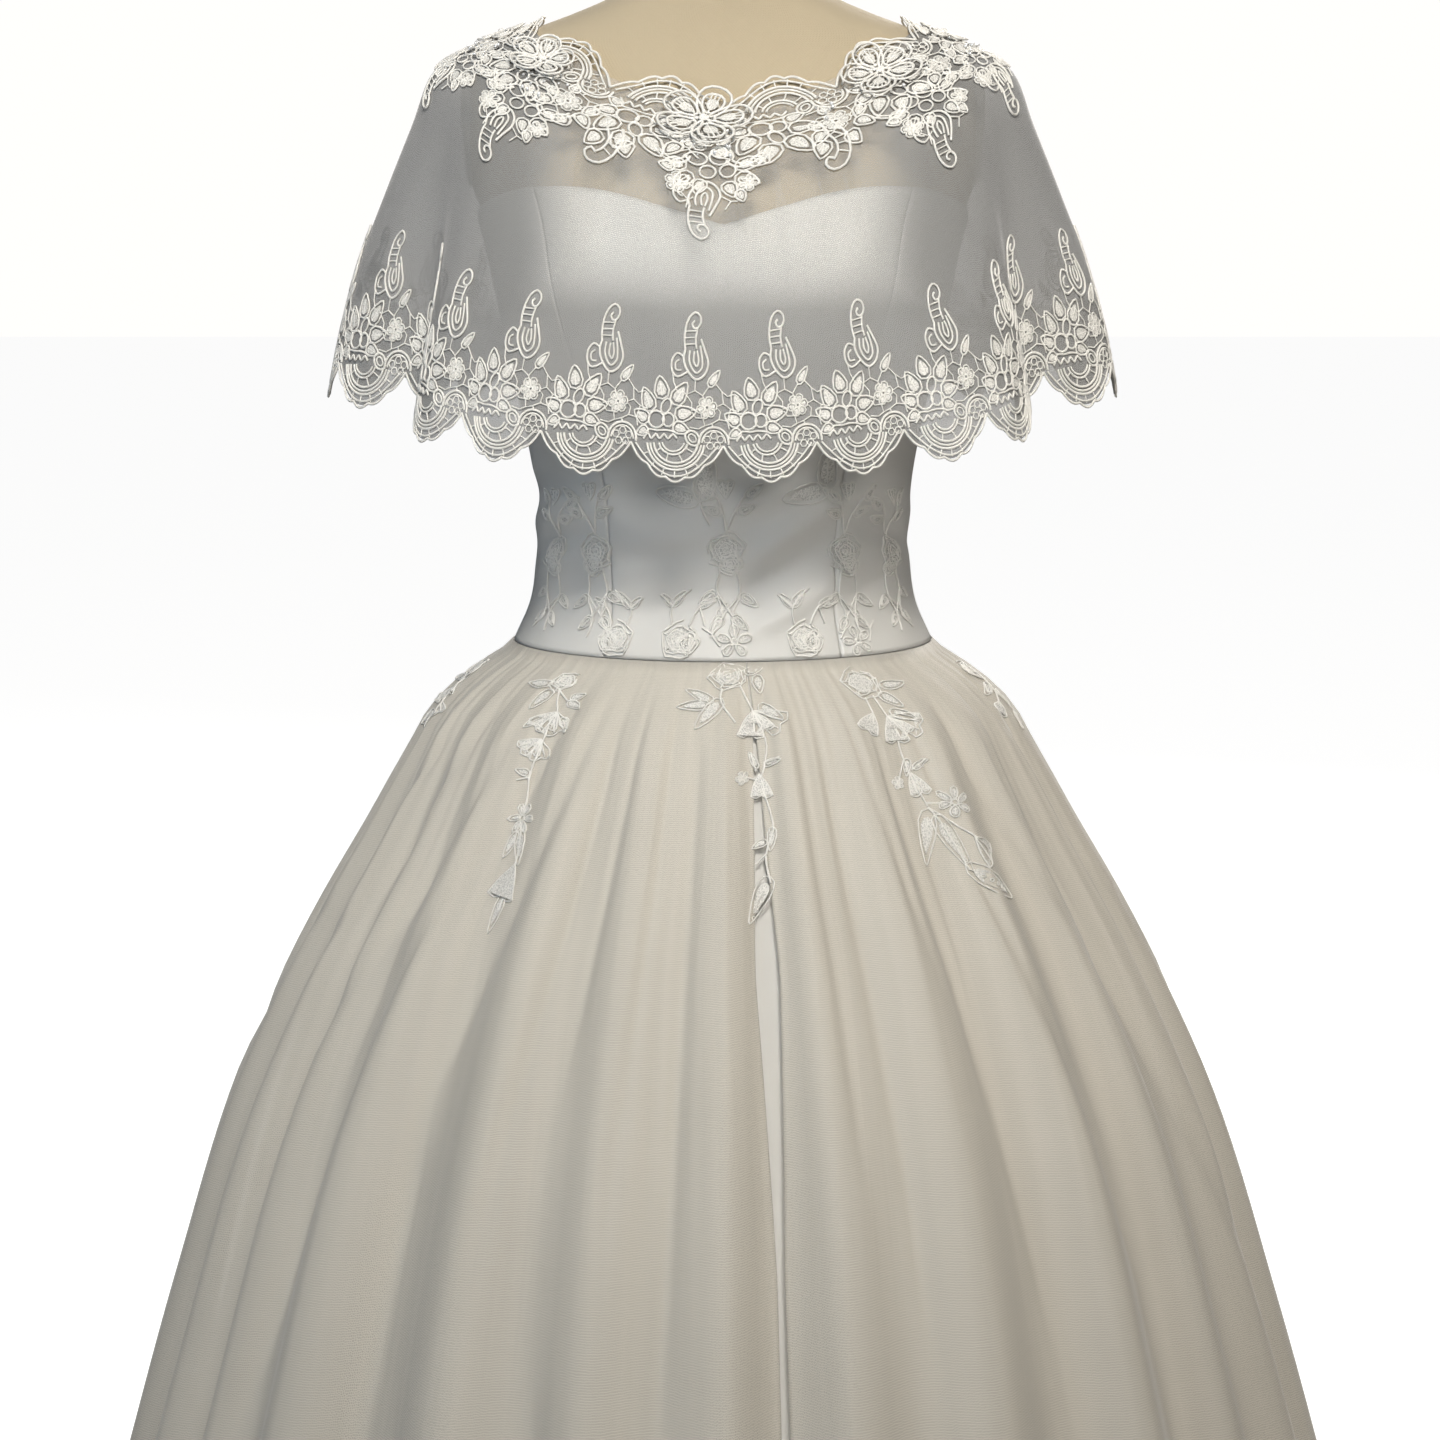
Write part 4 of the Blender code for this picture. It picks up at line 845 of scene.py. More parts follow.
def steel_material():
    if "stand_steel" in bpy.data.materials:
        return bpy.data.materials["stand_steel"]
    material, tree, shader = new_material("stand_steel", 0.28, Metallic=1.0, Anisotropic=0.6)
    tones(tree, shader, (0.58, 0.58, 0.59), 0.05, 30.0)
    bump(tree, shader, fine_noise(tree, 900), 0.00005, 0.5)
    return material


# Building blocks

def add_piece(name, mesh, materials, nodes=()):
    """Link a finished mesh as a piece that rides on the stand and stands for some nodes."""
    faces = np.zeros(len(mesh.polygons), dtype=np.int32)
    mesh.polygons.foreach_get("material_index", faces)
    mesh.materials.clear()
    for material in materials if isinstance(materials, list) else [materials]:
        mesh.materials.append(material)
    mesh.polygons.foreach_set("material_index", faces)
    piece = bpy.data.objects.new(name, mesh)
    bpy.context.scene.collection.objects.link(piece)
    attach(piece, "root")
    if nodes:
        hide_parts(*nodes)
    return piece


def mesh_points(mesh):
    """The vertices of a mesh as an array."""
    points = np.zeros(len(mesh.vertices) * 3)
    mesh.vertices.foreach_get("co", points)
    return points.reshape(-1, 3)


def set_points(mesh, points):
    """Move the vertices of a mesh."""
    mesh.vertices.foreach_set("co", np.ascontiguousarray(points, dtype=np.float32).ravel())
    mesh.update()


def turn_out(mesh):
    """Flip a sheet's faces where they look inwards."""
    points = mesh_points(mesh)
    normals = np.zeros(len(mesh.polygons) * 3)
    centers = np.zeros(len(mesh.polygons) * 3)
    mesh.polygons.foreach_get("normal", normals)
    mesh.polygons.foreach_get("center", centers)
    outward = centers.reshape(-1, 3) - (0, 0, points[:, 2].mean())
    if np.sum(normals.reshape(-1, 3) * outward) < 0:
        mesh.flip_normals()


def cloth_mesh(name, place, columns, rows, size):
    """A grid of cloth placed by place(across, up), each from 0 to 1, with its UV map in metres."""
    bm = bmesh.new()
    uv_layer = bm.loops.layers.uv.new("UVMap")
    bmesh.ops.create_grid(bm, x_segments=columns, y_segments=rows, size=0.5)
    for face in bm.faces:
        for loop in face.loops:
            spot = loop.vert.co
            loop[uv_layer].uv = ((spot.x + 0.5) * size[0], (spot.y + 0.5) * size[1])
    mesh = bpy.data.meshes.new(name)
    bm.to_mesh(mesh)
    bm.free()
    flat = mesh_points(mesh)
    set_points(mesh, place(flat[:, 0] + 0.5, flat[:, 1] + 0.5))
    turn_out(mesh)
    mesh.shade_smooth()
    return mesh


def give_wall(piece, thickness):
    """Turn a sheet into a thin closed shell, inwards from its outer face."""
    wall = piece.modifiers.new("wall", "SOLIDIFY")
    wall.thickness = thickness
    wall.offset = -1.0
    wall.use_even_offset = False
    return piece


def turned_mesh(name, profile, sides):
    """A body turned round the upright axis from (radius, z) points that start and end on it."""
    bm = bmesh.new()
    verts = [bm.verts.new((radius, 0.0, z)) for radius, z in profile]
    edges = [bm.edges.new(pair) for pair in zip(verts, verts[1:])]
    bmesh.ops.spin(
        bm, geom=verts + edges, cent=(0, 0, 0), axis=(0, 0, 1), angle=2 * math.pi,
        steps=sides, use_merge=True,
    )
    bmesh.ops.remove_doubles(bm, verts=bm.verts, dist=1e-5)
    bmesh.ops.recalc_face_normals(bm, faces=bm.faces)
    mesh = bpy.data.meshes.new(name)
    bm.to_mesh(mesh)
    bm.free()
    mesh.shade_smooth()
    return mesh


# Lace charts: lines in millimetres

Line = namedtuple("Line", "points radius closed filled", defaults=[False])


def path(points, radius, closed=False, steps=3):
    """A smooth line through some points."""
    points = np.array(points, dtype=float)
    count = len(points)
    if count < 3 or steps < 2:
        return Line(points, radius, closed)
    spans = count if closed else count - 1
    result = []
    for i in range(spans):
        if closed:
            p0, p1, p2, p3 = (points[(i + k) % count] for k in (-1, 0, 1, 2))
        else:
            p0, p1, p2, p3 = (points[min(max(i + k, 0), count - 1)] for k in (-1, 0, 1, 2))
        for step in range(steps):
            t = step / steps
            result.append(0.5 * (
                2 * p1 + (p2 - p0) * t + (2 * p0 - 5 * p1 + 4 * p2 - p3) * t**2
                + (3 * p1 - p0 - 3 * p2 + p3) * t**3
            ))
    if not closed:
        result.append(points[-1])
    return Line(np.array(result), radius, closed)


def ring(x, y, width, height, turn=0.0, radius=0.6, steps=12):
    """An oval ring."""
    a = np.linspace(0, 2 * math.pi, steps, endpoint=False)
    flat = np.stack([np.cos(a) * width, np.sin(a) * height], axis=1)
    return Line(turned(flat, turn) + (x, y), radius, True)


def arc(x, y, size, start, end, radius=0.6, steps=12):
    """Part of a circle, from one angle to another."""
    a = np.radians(np.linspace(start, end, steps))
    return Line(np.stack([np.cos(a) * size + x, np.sin(a) * size + y], axis=1), radius, False)


def turned(points, angle):
    """Points turned round the chart's zero point by some degrees."""
    a = math.radians(angle)
    return np.asarray(points, dtype=float) @ np.array([[math.cos(a), math.sin(a)], [-math.sin(a), math.cos(a)]])


def petal(x, y, turn, length, width, nests=1, radius=0.6, steps=10, point=0.45):
    """A pointed petal: a corded rim, nested cords, a plate of close stitches and its rib."""
    lines = []
    a = np.linspace(0, 2 * math.pi, steps, endpoint=False)
    along = length * (0.5 - 0.5 * np.cos(a))
    across = 0.58 * width * np.sin(a) * (1 + point * np.cos(a))
    middle = 0.42 * length

    def outline(share):
        flat = np.stack([middle + (along - middle) * share, across * share], axis=1)
        return turned(flat, turn) + (x, y)

    for k in range(nests):
        lines.append(Line(outline(1 - 0.36 * k), radius, True))
    lines.append(Line(outline(0.66 - 0.30 * (nests - 1)), 0.30, True, True))
    rib = turned([(length * 0.16, 0), (length * 0.76, 0)], turn) + (x, y)
    return lines + [Line(rib, radius * 0.75, False)]


def blossom(x, y, size, petals, turn=0.0, width=0.62, radius=0.5):
    """A small open flower with a ring in its middle."""
    lines = [ring(x, y, size * 0.2, size * 0.2, 0, radius * 1.2, 6)]
    for k in range(petals):
        angle = turn + 360 * k / petals
        a = math.radians(angle)
        foot = (x + math.cos(a) * size * 0.22, y + math.sin(a) * size * 0.22)
        lines += petal(*foot, angle, size * 0.8, size * width, 1, radius, 8, point=-0.2)
    return lines


def rose(x, y, size, turn=0.0, radius=0.55):
    """A rose seen from above: a curl inside loose, uneven rims."""
    lines = []
    for share, start, sweep in ((1.0, 20, 330), (0.80, 150, 300), (0.60, 280, 310), (0.38, 60, 330)):
        a = np.linspace(0, math.radians(sweep), 14)
        wave = 1 + 0.10 * np.sin(a * 5 + start)
        flat = np.stack([np.cos(a) * size * share * wave, np.sin(a) * size * share * wave * 0.86], axis=1)
        lines.append(Line(turned(flat, start + turn) + (x, y), radius, False))
    lines.append(ring(x, y, size * 0.15, size * 0.15, 0, radius, 6))
    lines.append(ring(x, y, size * 0.66, size * 0.58, turn, 0.30, 12)._replace(filled=True))
    for k in range(5):
        a = math.radians(turn + 72 * k + 20)
        c, s = math.cos(a), math.sin(a)
        ends = [(x + c * size * 0.62, y + s * size * 0.55), (x + c * size * 0.98, y + s * size * 0.86)]
        lines.append(Line(np.array(ends), radius * 0.8, False))
    return lines


def bell_bud(x, y, turn, size, radius=0.5):
    """A bell-shaped flower seen from the side, with its ribs."""
    lines = []
    for side in (-0.5, -0.17, 0.17, 0.5):
        ends = [(0, 0), (size * 0.5, side * size * 0.65), (size, side * size)]
        lines.append(path(turned(ends, turn) + (x, y), radius, steps=3))
    plate = [(0, 0), (size * 0.5, -0.33 * size), (size, -0.48 * size), (size, 0.48 * size), (size * 0.5, 0.33 * size)]
    lines.append(Line(turned(plate, turn) + (x, y), 0.30, True, True))
    rim = [(size, -0.5 * size), (size * 1.12, -0.25 * size), (size, 0), (size * 1.12, 0.25 * size), (size, 0.5 * size)]
    lines.append(path(turned(rim, turn) + (x, y), radius, steps=2))
    return lines


def scallop_edge(depth):
    """The wavy double cord along one scallop, tip at 0 and dips at both ends."""
    t = np.linspace(0, 1, 31)
    base = depth * (1 - np.sin(math.pi * t))
    bumps = 2.3 * np.abs(np.sin(5 * math.pi * t))
    outer = np.stack([REPEAT_WIDTH * t, base - bumps + 1.9], axis=1)
    inner_t = np.linspace(0.02, 0.98, 17)
    middle = REPEAT_WIDTH / 2
    inner_y = depth * (1 - np.sin(math.pi * inner_t)) + 3.4
    inner = np.stack([middle + (inner_t - 0.5) * REPEAT_WIDTH * 0.93, inner_y], axis=1)
    return [Line(outer, 0.75, False), Line(inner, 0.6, False)]


def scallop_fan():
    """Rows of cord and short bars that fill one scallop."""
    lines = []
    for size, radius in ((19.4, 0.8), (17.2, 0.65), (14.8, 0.75)):
        lines.append(arc(31, 27, size, 188, 352, radius, 16))
    for size, radius in ((9.8, 0.7), (7.6, 0.6)):
        lines.append(arc(29.5, 27.5, size, 195, 345, radius, 9))
    for angle in (205, 228, 250, 270, 290, 312, 335):
        a = math.radians(angle)
        reach = 24.6 if 240 < angle < 300 else 24.0
        ends = [(31 + math.cos(a) * 19.4, 27 + math.sin(a) * 19.4), (31 + math.cos(a) * reach, 27 + math.sin(a) * reach)]
        lines.append(Line(np.array(ends), 0.4, False))
    for angle in (212, 248, 290, 328):
        a = math.radians(angle)
        ends = [(30 + math.cos(a) * 9.8, 27.3 + math.sin(a) * 9.8), (31 + math.cos(a) * 14.8, 27 + math.sin(a) * 14.8)]
        lines.append(Line(np.array(ends), 0.45, False))
    lines.append(path(
        [(9, 27), (12, 30.6), (14.6, 27.4), (17.6, 30.8), (20.2, 27.6), (23.2, 31), (26, 28), (29, 31.2), (32, 28.4)],
        0.7, steps=3,
    ))
    lines.append(path([(10, 30.5), (13, 33.4), (18, 33.0), (23, 33.6), (28, 33.2), (33, 31.5)], 0.6, steps=2))
    lines += [ring(42.0, 29.0, 4.2, 5.6, 42, 0.7, 12), ring(42.0, 29.0, 2.2, 3.2, 42, 0.55, 8)]
    return lines


def honeycomb_arch():
    """The arch beside a scallop, with round cells inside."""
    lines = [arc(56.5, 26.0, 10.2, -6, 186, 0.75, 14), arc(56.5, 26.0, 8.0, 0, 180, 0.55, 11)]
    for x, y in ((51.9, 28.2), (56.5, 30.8), (61.1, 28.2), (54.1, 24.0), (59.0, 24.2)):
        lines.append(ring(x, y, 2.4, 2.4, 0, 0.42, 6))
    return lines


def daisy():
    """Open cells with pointed petals round them."""
    lines = [
        ring(17.3, 40.0, 5.6, 5.4, 0, 0.7, 12),
        ring(25.6, 40.2, 4.0, 4.4, 0, 0.65, 10),
        ring(23.6, 48.8, 3.2, 5.0, -22, 0.6, 10),
    ]
    for x, y, turn, length, width in (
        (14.0, 44.8, 118, 16.0, 8.2), (21.2, 53.0, 104, 14.5, 8.4), (28.6, 50.0, 58, 16.5, 8.2),
        (29.8, 43.4, 10, 14.5, 8.2), (29.0, 36.8, -18, 11.5, 6.4), (12.0, 38.5, 152, 12.5, 7.4),
        (11.8, 33.6, 206, 9.0, 5.4),
    ):
        lines += petal(x, y, turn, length, width)
    return lines


def tulip():
    """A ribbed tulip whose tip curls into a crozier."""
    lines = [
        path([(35, 84), (34.2, 79), (36.5, 72.5), (43, 66), (49.5, 69), (52, 76), (49.8, 83), (46.3, 91)], 0.75),
        path([(38.6, 84), (38.2, 78), (40.6, 72.4), (44, 70), (47.6, 73.5), (47.4, 80), (45.8, 87)], 0.65),
        path([(41.8, 83.5), (41.4, 77.5), (43.8, 74), (45, 78), (43.6, 84)], 0.6),
        path([(37.8, 71), (30.5, 67.5), (26.4, 71), (26, 77.5), (29.4, 82), (33.6, 80.4)], 0.65),
        path([(33, 71.6), (29.2, 71.8), (28.6, 76), (31.2, 78)], 0.55),
        path([(35.2, 84), (34.2, 90), (34.6, 97.5), (37.0, 104), (41.4, 107.4), (45.2, 105.4),
              (46.0, 101.4), (43.8, 97.8), (40.6, 97.8), (39.6, 100.4), (41.4, 102.2)], 0.7, steps=2),
        path([(43.2, 85), (42.4, 91), (43.6, 97.4)], 0.65),
    ]
    for y in (87.5, 91.5, 95.5):
        lines.append(Line(np.array([(34.7, y), (42.8, y + 0.6)]), 0.45, False))
    return lines


BARS = [
    [(43, 65.5), (43, 59), (37, 56.5), (34.5, 59)],
    [(43, 59), (48.5, 56), (50, 52)],
    [(48.5, 56), (53, 62)],
    [(37, 56.5), (41, 51.5), (41, 46.5), (46, 48)],
    [(41.5, 45.5), (44, 42), (49, 42), (52, 44)],
    [(49, 42), (50, 37), (55, 38.5), (60, 41), (66, 40), (71, 40)],
    [(50, 37), (46, 35), (40, 36)],
    [(60, 41), (61, 46), (58, 49), (63, 51), (68, 47.5), (74, 46)],
    [(55, 38.5), (56, 36)],
    [(66, 40), (68, 47.5)],
    [(57, 64), (62, 58.5), (66, 55.5), (71, 57), (74, 55)],
    [(63, 51), (62, 58.5)],
    [(66, 40), (67, 35)],
    [(31, 58), (28, 64), (27, 70)],
]


def hem_chart():
    """One repeat of the hem lace: dips at 0 and 63 mm, the scallop's tip at 0 and tulips above."""
    lines = scallop_edge(SCALLOP_DEPTH) + scallop_fan() + honeycomb_arch() + daisy() + tulip()
    lines += blossom(51.5, 48.5, 7.0, 6, 12)
    lines += petal(52.5, 61.5, 52, 13.0, 4.4)
    lines += [Line(np.array(bar, dtype=float), 0.42, False) for bar in BARS]
    return lines


def collar_chart():
    """One repeat of the collar's band, drawn with its scallop's tip at 0 at the neck."""
    lines = scallop_edge(COLLAR_SCALLOP_DEPTH) + scallop_fan() + honeycomb_arch() + daisy()
    lines += blossom(51.5, 48.5, 7.5, 6, 12)
    lines += [Line(np.array(bar, dtype=float), 0.42, False) for bar in BARS[1:10]]
    lines += petal(44, 52, 118, 11, 6) + petal(60, 53, 52, 11, 6) + petal(40, 44, 60, 9, 5)
    lines += petal(66, 44, 118, 10, 5.5) + petal(50, 40, -100, 8, 5)
    return lines


def long_pendant():
    """The cluster that hangs below a dip of the collar: cells, petals, a flower and a tulip."""
    lines = placed(tulip(), (-46.0, 12.0))
    lines += [
        ring(-7, 62, 5.2, 4.6), ring(4.5, 60.5, 5.4, 5.2), ring(-1.5, 71, 4.6, 4.4), ring(9.5, 70, 4.4, 4.6),
        arc(16, 58, 9.5, -20, 150, 0.75, 10), arc(16, 58, 7.0, -10, 140, 0.6, 8),
        arc(-18, 58, 8.5, 20, 190, 0.75, 10), arc(-18, 58, 6.0, 20, 180, 0.6, 8),
    ]
    for x, y, turn, length, width in (
        (-13, 66, 168, 14, 7.5), (-10, 73, 138, 14, 7.5), (-4, 77, 112, 11, 6.5), (14, 74, 24, 15, 8),
        (13, 66, -6, 15, 8), (9, 78, 66, 12, 7), (20, 62, 20, 12, 7), (-20, 70, 190, 9, 5.5), (2, 54, 60, 8, 6),
        (16, 84, 70, 9, 5),
    ):
        lines += petal(x, y, turn, length, width)
    lines += blossom(-18, 80, 7.2, 6, 20) + blossom(21, 79, 6.0, 5, 0)
    bars = [
        [(-16, 87), (-12, 92), (-9, 90)], [(6, 88), (12, 92), (16, 92)], [(-12, 92), (-13, 98)], [(12, 92), (9, 98)],
        [(20, 70), (24, 74)], [(-22, 62), (-27, 58)], [(22, 60), (28, 56)],
    ]
    return lines + [Line(np.array(bar, dtype=float), 0.42, False) for bar in bars]


def hook_pendant():
    """A curl with rungs, like a walking stick turned over."""
    return [
        path([(4.5, 52), (8.0, 62), (7.0, 73), (1.4, 81), (-6.0, 82), (-9.4, 77), (-6.6, 72.6), (-3, 75)], 0.8, steps=2),
        path([(-2.4, 54), (1.0, 62.5), (0.0, 70), (-3.0, 74)], 0.7, steps=2),
        Line(np.array([(0.4, 60.6), (7.2, 60.2)]), 0.45, False), Line(np.array([(0.8, 65), (7.6, 66)]), 0.45, False),
        Line(np.array([(-0.2, 69.4), (6.2, 73.6)]), 0.45, False),
    ] + petal(-4, 60, 122, 14, 8) + petal(8, 60, 58, 13, 7.5)


def short_pendant():
    """Two hooks and a ribbed fan."""
    lines = placed(hook_pendant(), (17.0, 0.0)) + placed(hook_pendant(), (-15.0, -1.0))
    return lines + bell_bud(1, 57, 90, 15, 0.6) + petal(1, 66, 90, 13, 7.5)


PENDANT_CHARTS = {"long": long_pendant, "hook": hook_pendant, "short": short_pendant}


def placed(lines, move=(0.0, 0.0), turn=0.0, scale=1.0, flip=False):
    """Lines of a chart mirrored, scaled, turned and moved."""
    result = []
    for line in lines:
        points = line.points * ((-1, 1) if flip else (1, 1)) * scale
        result.append(line._replace(points=turned(points, turn) + move))
    return result


def cord_mesh(name, lines, cord_scale):
    """Round cords along flat lines and thin plates inside filled ones, still flat, in metres."""
    bm = bmesh.new()
    for radius, filled in sorted({(line.radius, line.filled) for line in lines}):
        curve = bpy.data.curves.new(name, "CURVE")
        if filled:
            curve.dimensions = "2D"
            curve.fill_mode = "BOTH"
            curve.extrude = radius * MM
        else:
            curve.dimensions = "3D"
            curve.bevel_depth = radius * MM * cord_scale
            curve.bevel_resolution = 0
            curve.use_fill_caps = True
        for line in lines:
            if (line.radius, line.filled) != (radius, filled):
                continue
            spline = curve.splines.new("POLY")
            spline.points.add(len(line.points) - 1)
            flat = np.zeros((len(line.points), 4))
            flat[:, :2] = line.points * MM
            flat[:, 3] = 1
            spline.points.foreach_set("co", flat.ravel())
            spline.use_cyclic_u = line.closed
        holder = bpy.data.objects.new(name, curve)
        tubes = bpy.data.meshes.new_from_object(holder)
        tubes.polygons.foreach_set("material_index", [int(filled)] * len(tubes.polygons))
        bm.from_mesh(tubes)
        bpy.data.objects.remove(holder)
        bpy.data.curves.remove(curve)
        bpy.data.meshes.remove(tubes)
    mesh = bpy.data.meshes.new(name)
    bm.to_mesh(mesh)
    bm.free()
    mesh.shade_smooth()
    return mesh


def lace_materials(settings):
    """The cords' material, and that of the plates inside the petals."""
    return [lace_material(settings), stitch_material(settings)]


def lay_cords(name, charts, lift, nodes=(), mirrored=False):
    """Lace from pairs of a chart and its place(x, y, height), which takes metres on the chart."""
    settings = bpy.context.scene.dress_lace
    bm = bmesh.new()
    for lines, place in charts:
        part = cord_mesh(name, lines, settings.cord_scale)
        flat = mesh_points(part)
        set_points(part, place(flat[:, 0], flat[:, 1], flat[:, 2] + lift))
        if mirrored:
            part.flip_normals()
        bm.from_mesh(part)
        bpy.data.meshes.remove(part)
    mesh = bpy.data.meshes.new(name)
    bm.to_mesh(mesh)
    bm.free()
    mesh.shade_smooth()
    return add_piece(name, mesh, lace_materials(settings), nodes)


# Operators: the form

class DRESS_OT_form(bpy.types.Operator):
    """Padded linen form with its seams, armhole plates and neck cap"""

    bl_idname = "dress.form"
    bl_label = "Dress form"

    def execute(self, context):
        settings = context.scene.dress_form

        def place(across, up):
            z = FORM[0].z + (FORM[-1].z - FORM[0].z) * up
            angle = -180 + 360 * across
            groove = np.zeros(angle.shape)
            for seam in (0, 62, -62, 180, -180, 118, -118):
                width = 0.9 * 0.13 / np.maximum(column_at(FORM, "half_width", z), 0.05)
                groove = groove + 0.6 * MM * bell(angle - seam, width)
            return form_face(angle, z, -groove)

        mesh = cloth_mesh("linen_form", place, 288, 200, (0.95, 0.72))
        bm = bmesh.new()
        bm.from_mesh(mesh)
        bmesh.ops.remove_doubles(bm, verts=bm.verts, dist=1e-5)
        for z in (FORM[0].z, FORM[-1].z):
            rim = [edge for edge in bm.edges if edge.is_boundary and abs(edge.verts[0].co.z - z) < 1e-4]
            bmesh.ops.contextual_create(bm, geom=rim)
        bmesh.ops.recalc_face_normals(bm, faces=bm.faces)
        bm.to_mesh(mesh)
        bm.free()
        mesh.shade_smooth()
        add_piece("linen_form", mesh, linen_material(settings), ["form_torso"])
        self.make_plates()
        self.make_cap(context.scene.dress_stage.sides)
        return {"FINISHED"}

    def make_plates(self):
        for side, suffix in ((-1, "left"), (1, "right")):
            low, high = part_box("form_arm_plate_" + suffix)
            middle, half = (low + high) / 2, (high - low) / 2
            bm = bmesh.new()
            bmesh.ops.create_cone(bm, cap_ends=True, segments=64, radius1=1, radius2=1, depth=2)
            for vert in bm.verts:
                x, y, depth = vert.co
                vert.co = (middle.x + side * depth * half.x, middle.y + side * x * half.y, middle.z + y * half.z)
            rim = [edge for edge in bm.edges if abs(edge.verts[0].co.x - edge.verts[1].co.x) < 1e-6]
            bmesh.ops.bevel(
                bm, geom=rim, offset=0.0012, segments=3, profile=0.5, affect="EDGES", material=-1
            )
            mesh = bpy.data.meshes.new("arm_plate_" + suffix)
            bm.to_mesh(mesh)
            bm.free()
            add_piece(mesh.name, mesh, paint_material(), ["form_arm_plate_" + suffix])

    def make_cap(self, sides):
        low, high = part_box("form_neck_cap")
        radius, edge = high.x, 0.0035
        profile = [(0, low.z), (radius - edge, low.z), (radius, low.z + edge)]
        profile += [(radius, high.z - edge), (radius - edge * 0.3, high.z - edge * 0.3)]
        profile += [(radius - edge, high.z), (0, high.z)]
        mesh = turned_mesh("neck_cap", profile, sides)
        add_piece("neck_cap", mesh, paint_material(), ["form_neck_cap"])


class DRESS_OT_stand(bpy.types.Operator):
    """Round base plate and the pole that carries the form"""

    bl_idname = "dress.stand"
    bl_label = "Stand"

    def execute(self, context):
        sides = context.scene.dress_stage.sides
        low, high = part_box("base_plate")
        radius, top, edge = high.x, high.z, 0.004
        profile = [(0, 0), (radius - 0.002, 0), (radius, 0.002), (radius, top - edge)]
        profile += [(radius - edge * 0.3, top - edge * 0.3), (radius - edge, top), (0, top)]
        mesh = turned_mesh("round_base", profile, sides)
        add_piece("round_base", mesh, paint_material(), ["base_plate"])
        low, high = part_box("stand_pole")
        radius = high.x
        profile = [(0, low.z), (radius, low.z), (radius, high.z), (0, high.z)]
        mesh = turned_mesh("pole", profile, 48)
        add_piece("pole", mesh, steel_material(), ["stand_pole"])
        return {"FINISHED"}


# Operators: the gown

class DRESS_OT_bodice(bpy.types.Operator):
    """Satin bodice cut in seven panels, with the wrinkles at the waist"""

    bl_idname = "dress.bodice"
    bl_label = "Bodice"

    def execute(self, context):
        settings = context.scene.dress_bodice
        for panel in BODICE_PANELS:
            def place(across, up, panel=panel):
                start = panel.waist_start + (panel.top_start - panel.waist_start) * up
                end = panel.waist_end + (panel.top_end - panel.waist_end) * up
                angle = start + 0.02 + (end - start - 0.04) * across
                top = column_at(BODICE_TOP, "z", np.abs(wrapped(angle)))
                z = WAIST_SEAM_Z + 0.0002 + (top - WAIST_SEAM_Z - 0.0002) * up
                points = bodice_face(angle, z)
                width = np.radians(end - start) * 0.13
                edge = np.minimum(across, 1 - across) * width
                turn = np.radians(angle)
                tuck = 0.45 * MM * bell(edge, 1.3 * MM) + 0.4 * MM * bell((1 - up) * 0.28, 1.2 * MM)
                points[:, 0] -= np.sin(turn) * tuck
                points[:, 1] += np.cos(turn) * tuck
                return points

            columns = max(20, round(panel.width / 0.0030))
            size = (panel.width, panel.length)
            mesh = cloth_mesh("satin_" + panel.name, place, columns, 90, size)
            piece = add_piece(
                "satin_" + panel.name, mesh, satin_material(settings), ["bodice_" + panel.name]
            )
            give_wall(piece, settings.satin_thickness)
        return {"FINISHED"}


class DRESS_OT_buttons(bpy.types.Operator):
    """Covered buttons down the centre back"""

    bl_idname = "dress.buttons"
    bl_label = "Back buttons"

    def execute(self, context):
        settings = context.scene.dress_bodice
        radius = settings.button_size / 2
        count = sum(node["node"].startswith("back_button_") for node in frame["record"]["subparts"])
        for number in range(1, count + 1):
            node = f"back_button_{number}"
            low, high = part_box(node)
            middle = (low + high) / 2
            half = (high.y - low.y) / 2
            profile = [(0, -half), (radius * 0.75, -half), (radius * 0.98, -half * 0.5), (radius, -half * 0.1)]
            profile += [(radius * 0.93, half * 0.35), (radius * 0.7, half * 0.75), (radius * 0.35, half * 0.96), (0, half)]
            mesh = turned_mesh("covered_button_%d" % number, profile, 32)
            flat = mesh_points(mesh)
            points = np.stack([middle.x - flat[:, 0], middle.y + flat[:, 2], middle.z + flat[:, 1]], axis=1)
            set_points(mesh, points)
            add_piece(mesh.name, mesh, satin_material(settings), [node])
        return {"FINISHED"}


class DRESS_OT_satin_skirt(bpy.types.Operator):
    """Plain satin skirt under the tulle"""

    bl_idname = "dress.satin_skirt"
    bl_label = "Satin skirt"

    def execute(self, context):
        settings = context.scene.dress_bodice
        for label, start, size, area in (
            ("front", -90.0, (1.58, 1.12), 1.13), ("back", 90.0, (1.74, 1.13), 1.24),
        ):
            def place(across, up, start=start):
                z = HEM_Z + (SKIRT_TOP_Z - HEM_Z) * up
                return satin_face(start + 180 * across, z)

            mesh = cloth_mesh("satin_underskirt_" + label, place, 120, 60, size)
            piece = add_piece(
                mesh.name, mesh, satin_material(settings), ["satin_skirt_" + label]
            )
            give_wall(piece, settings.satin_thickness)
        return {"FINISHED"}


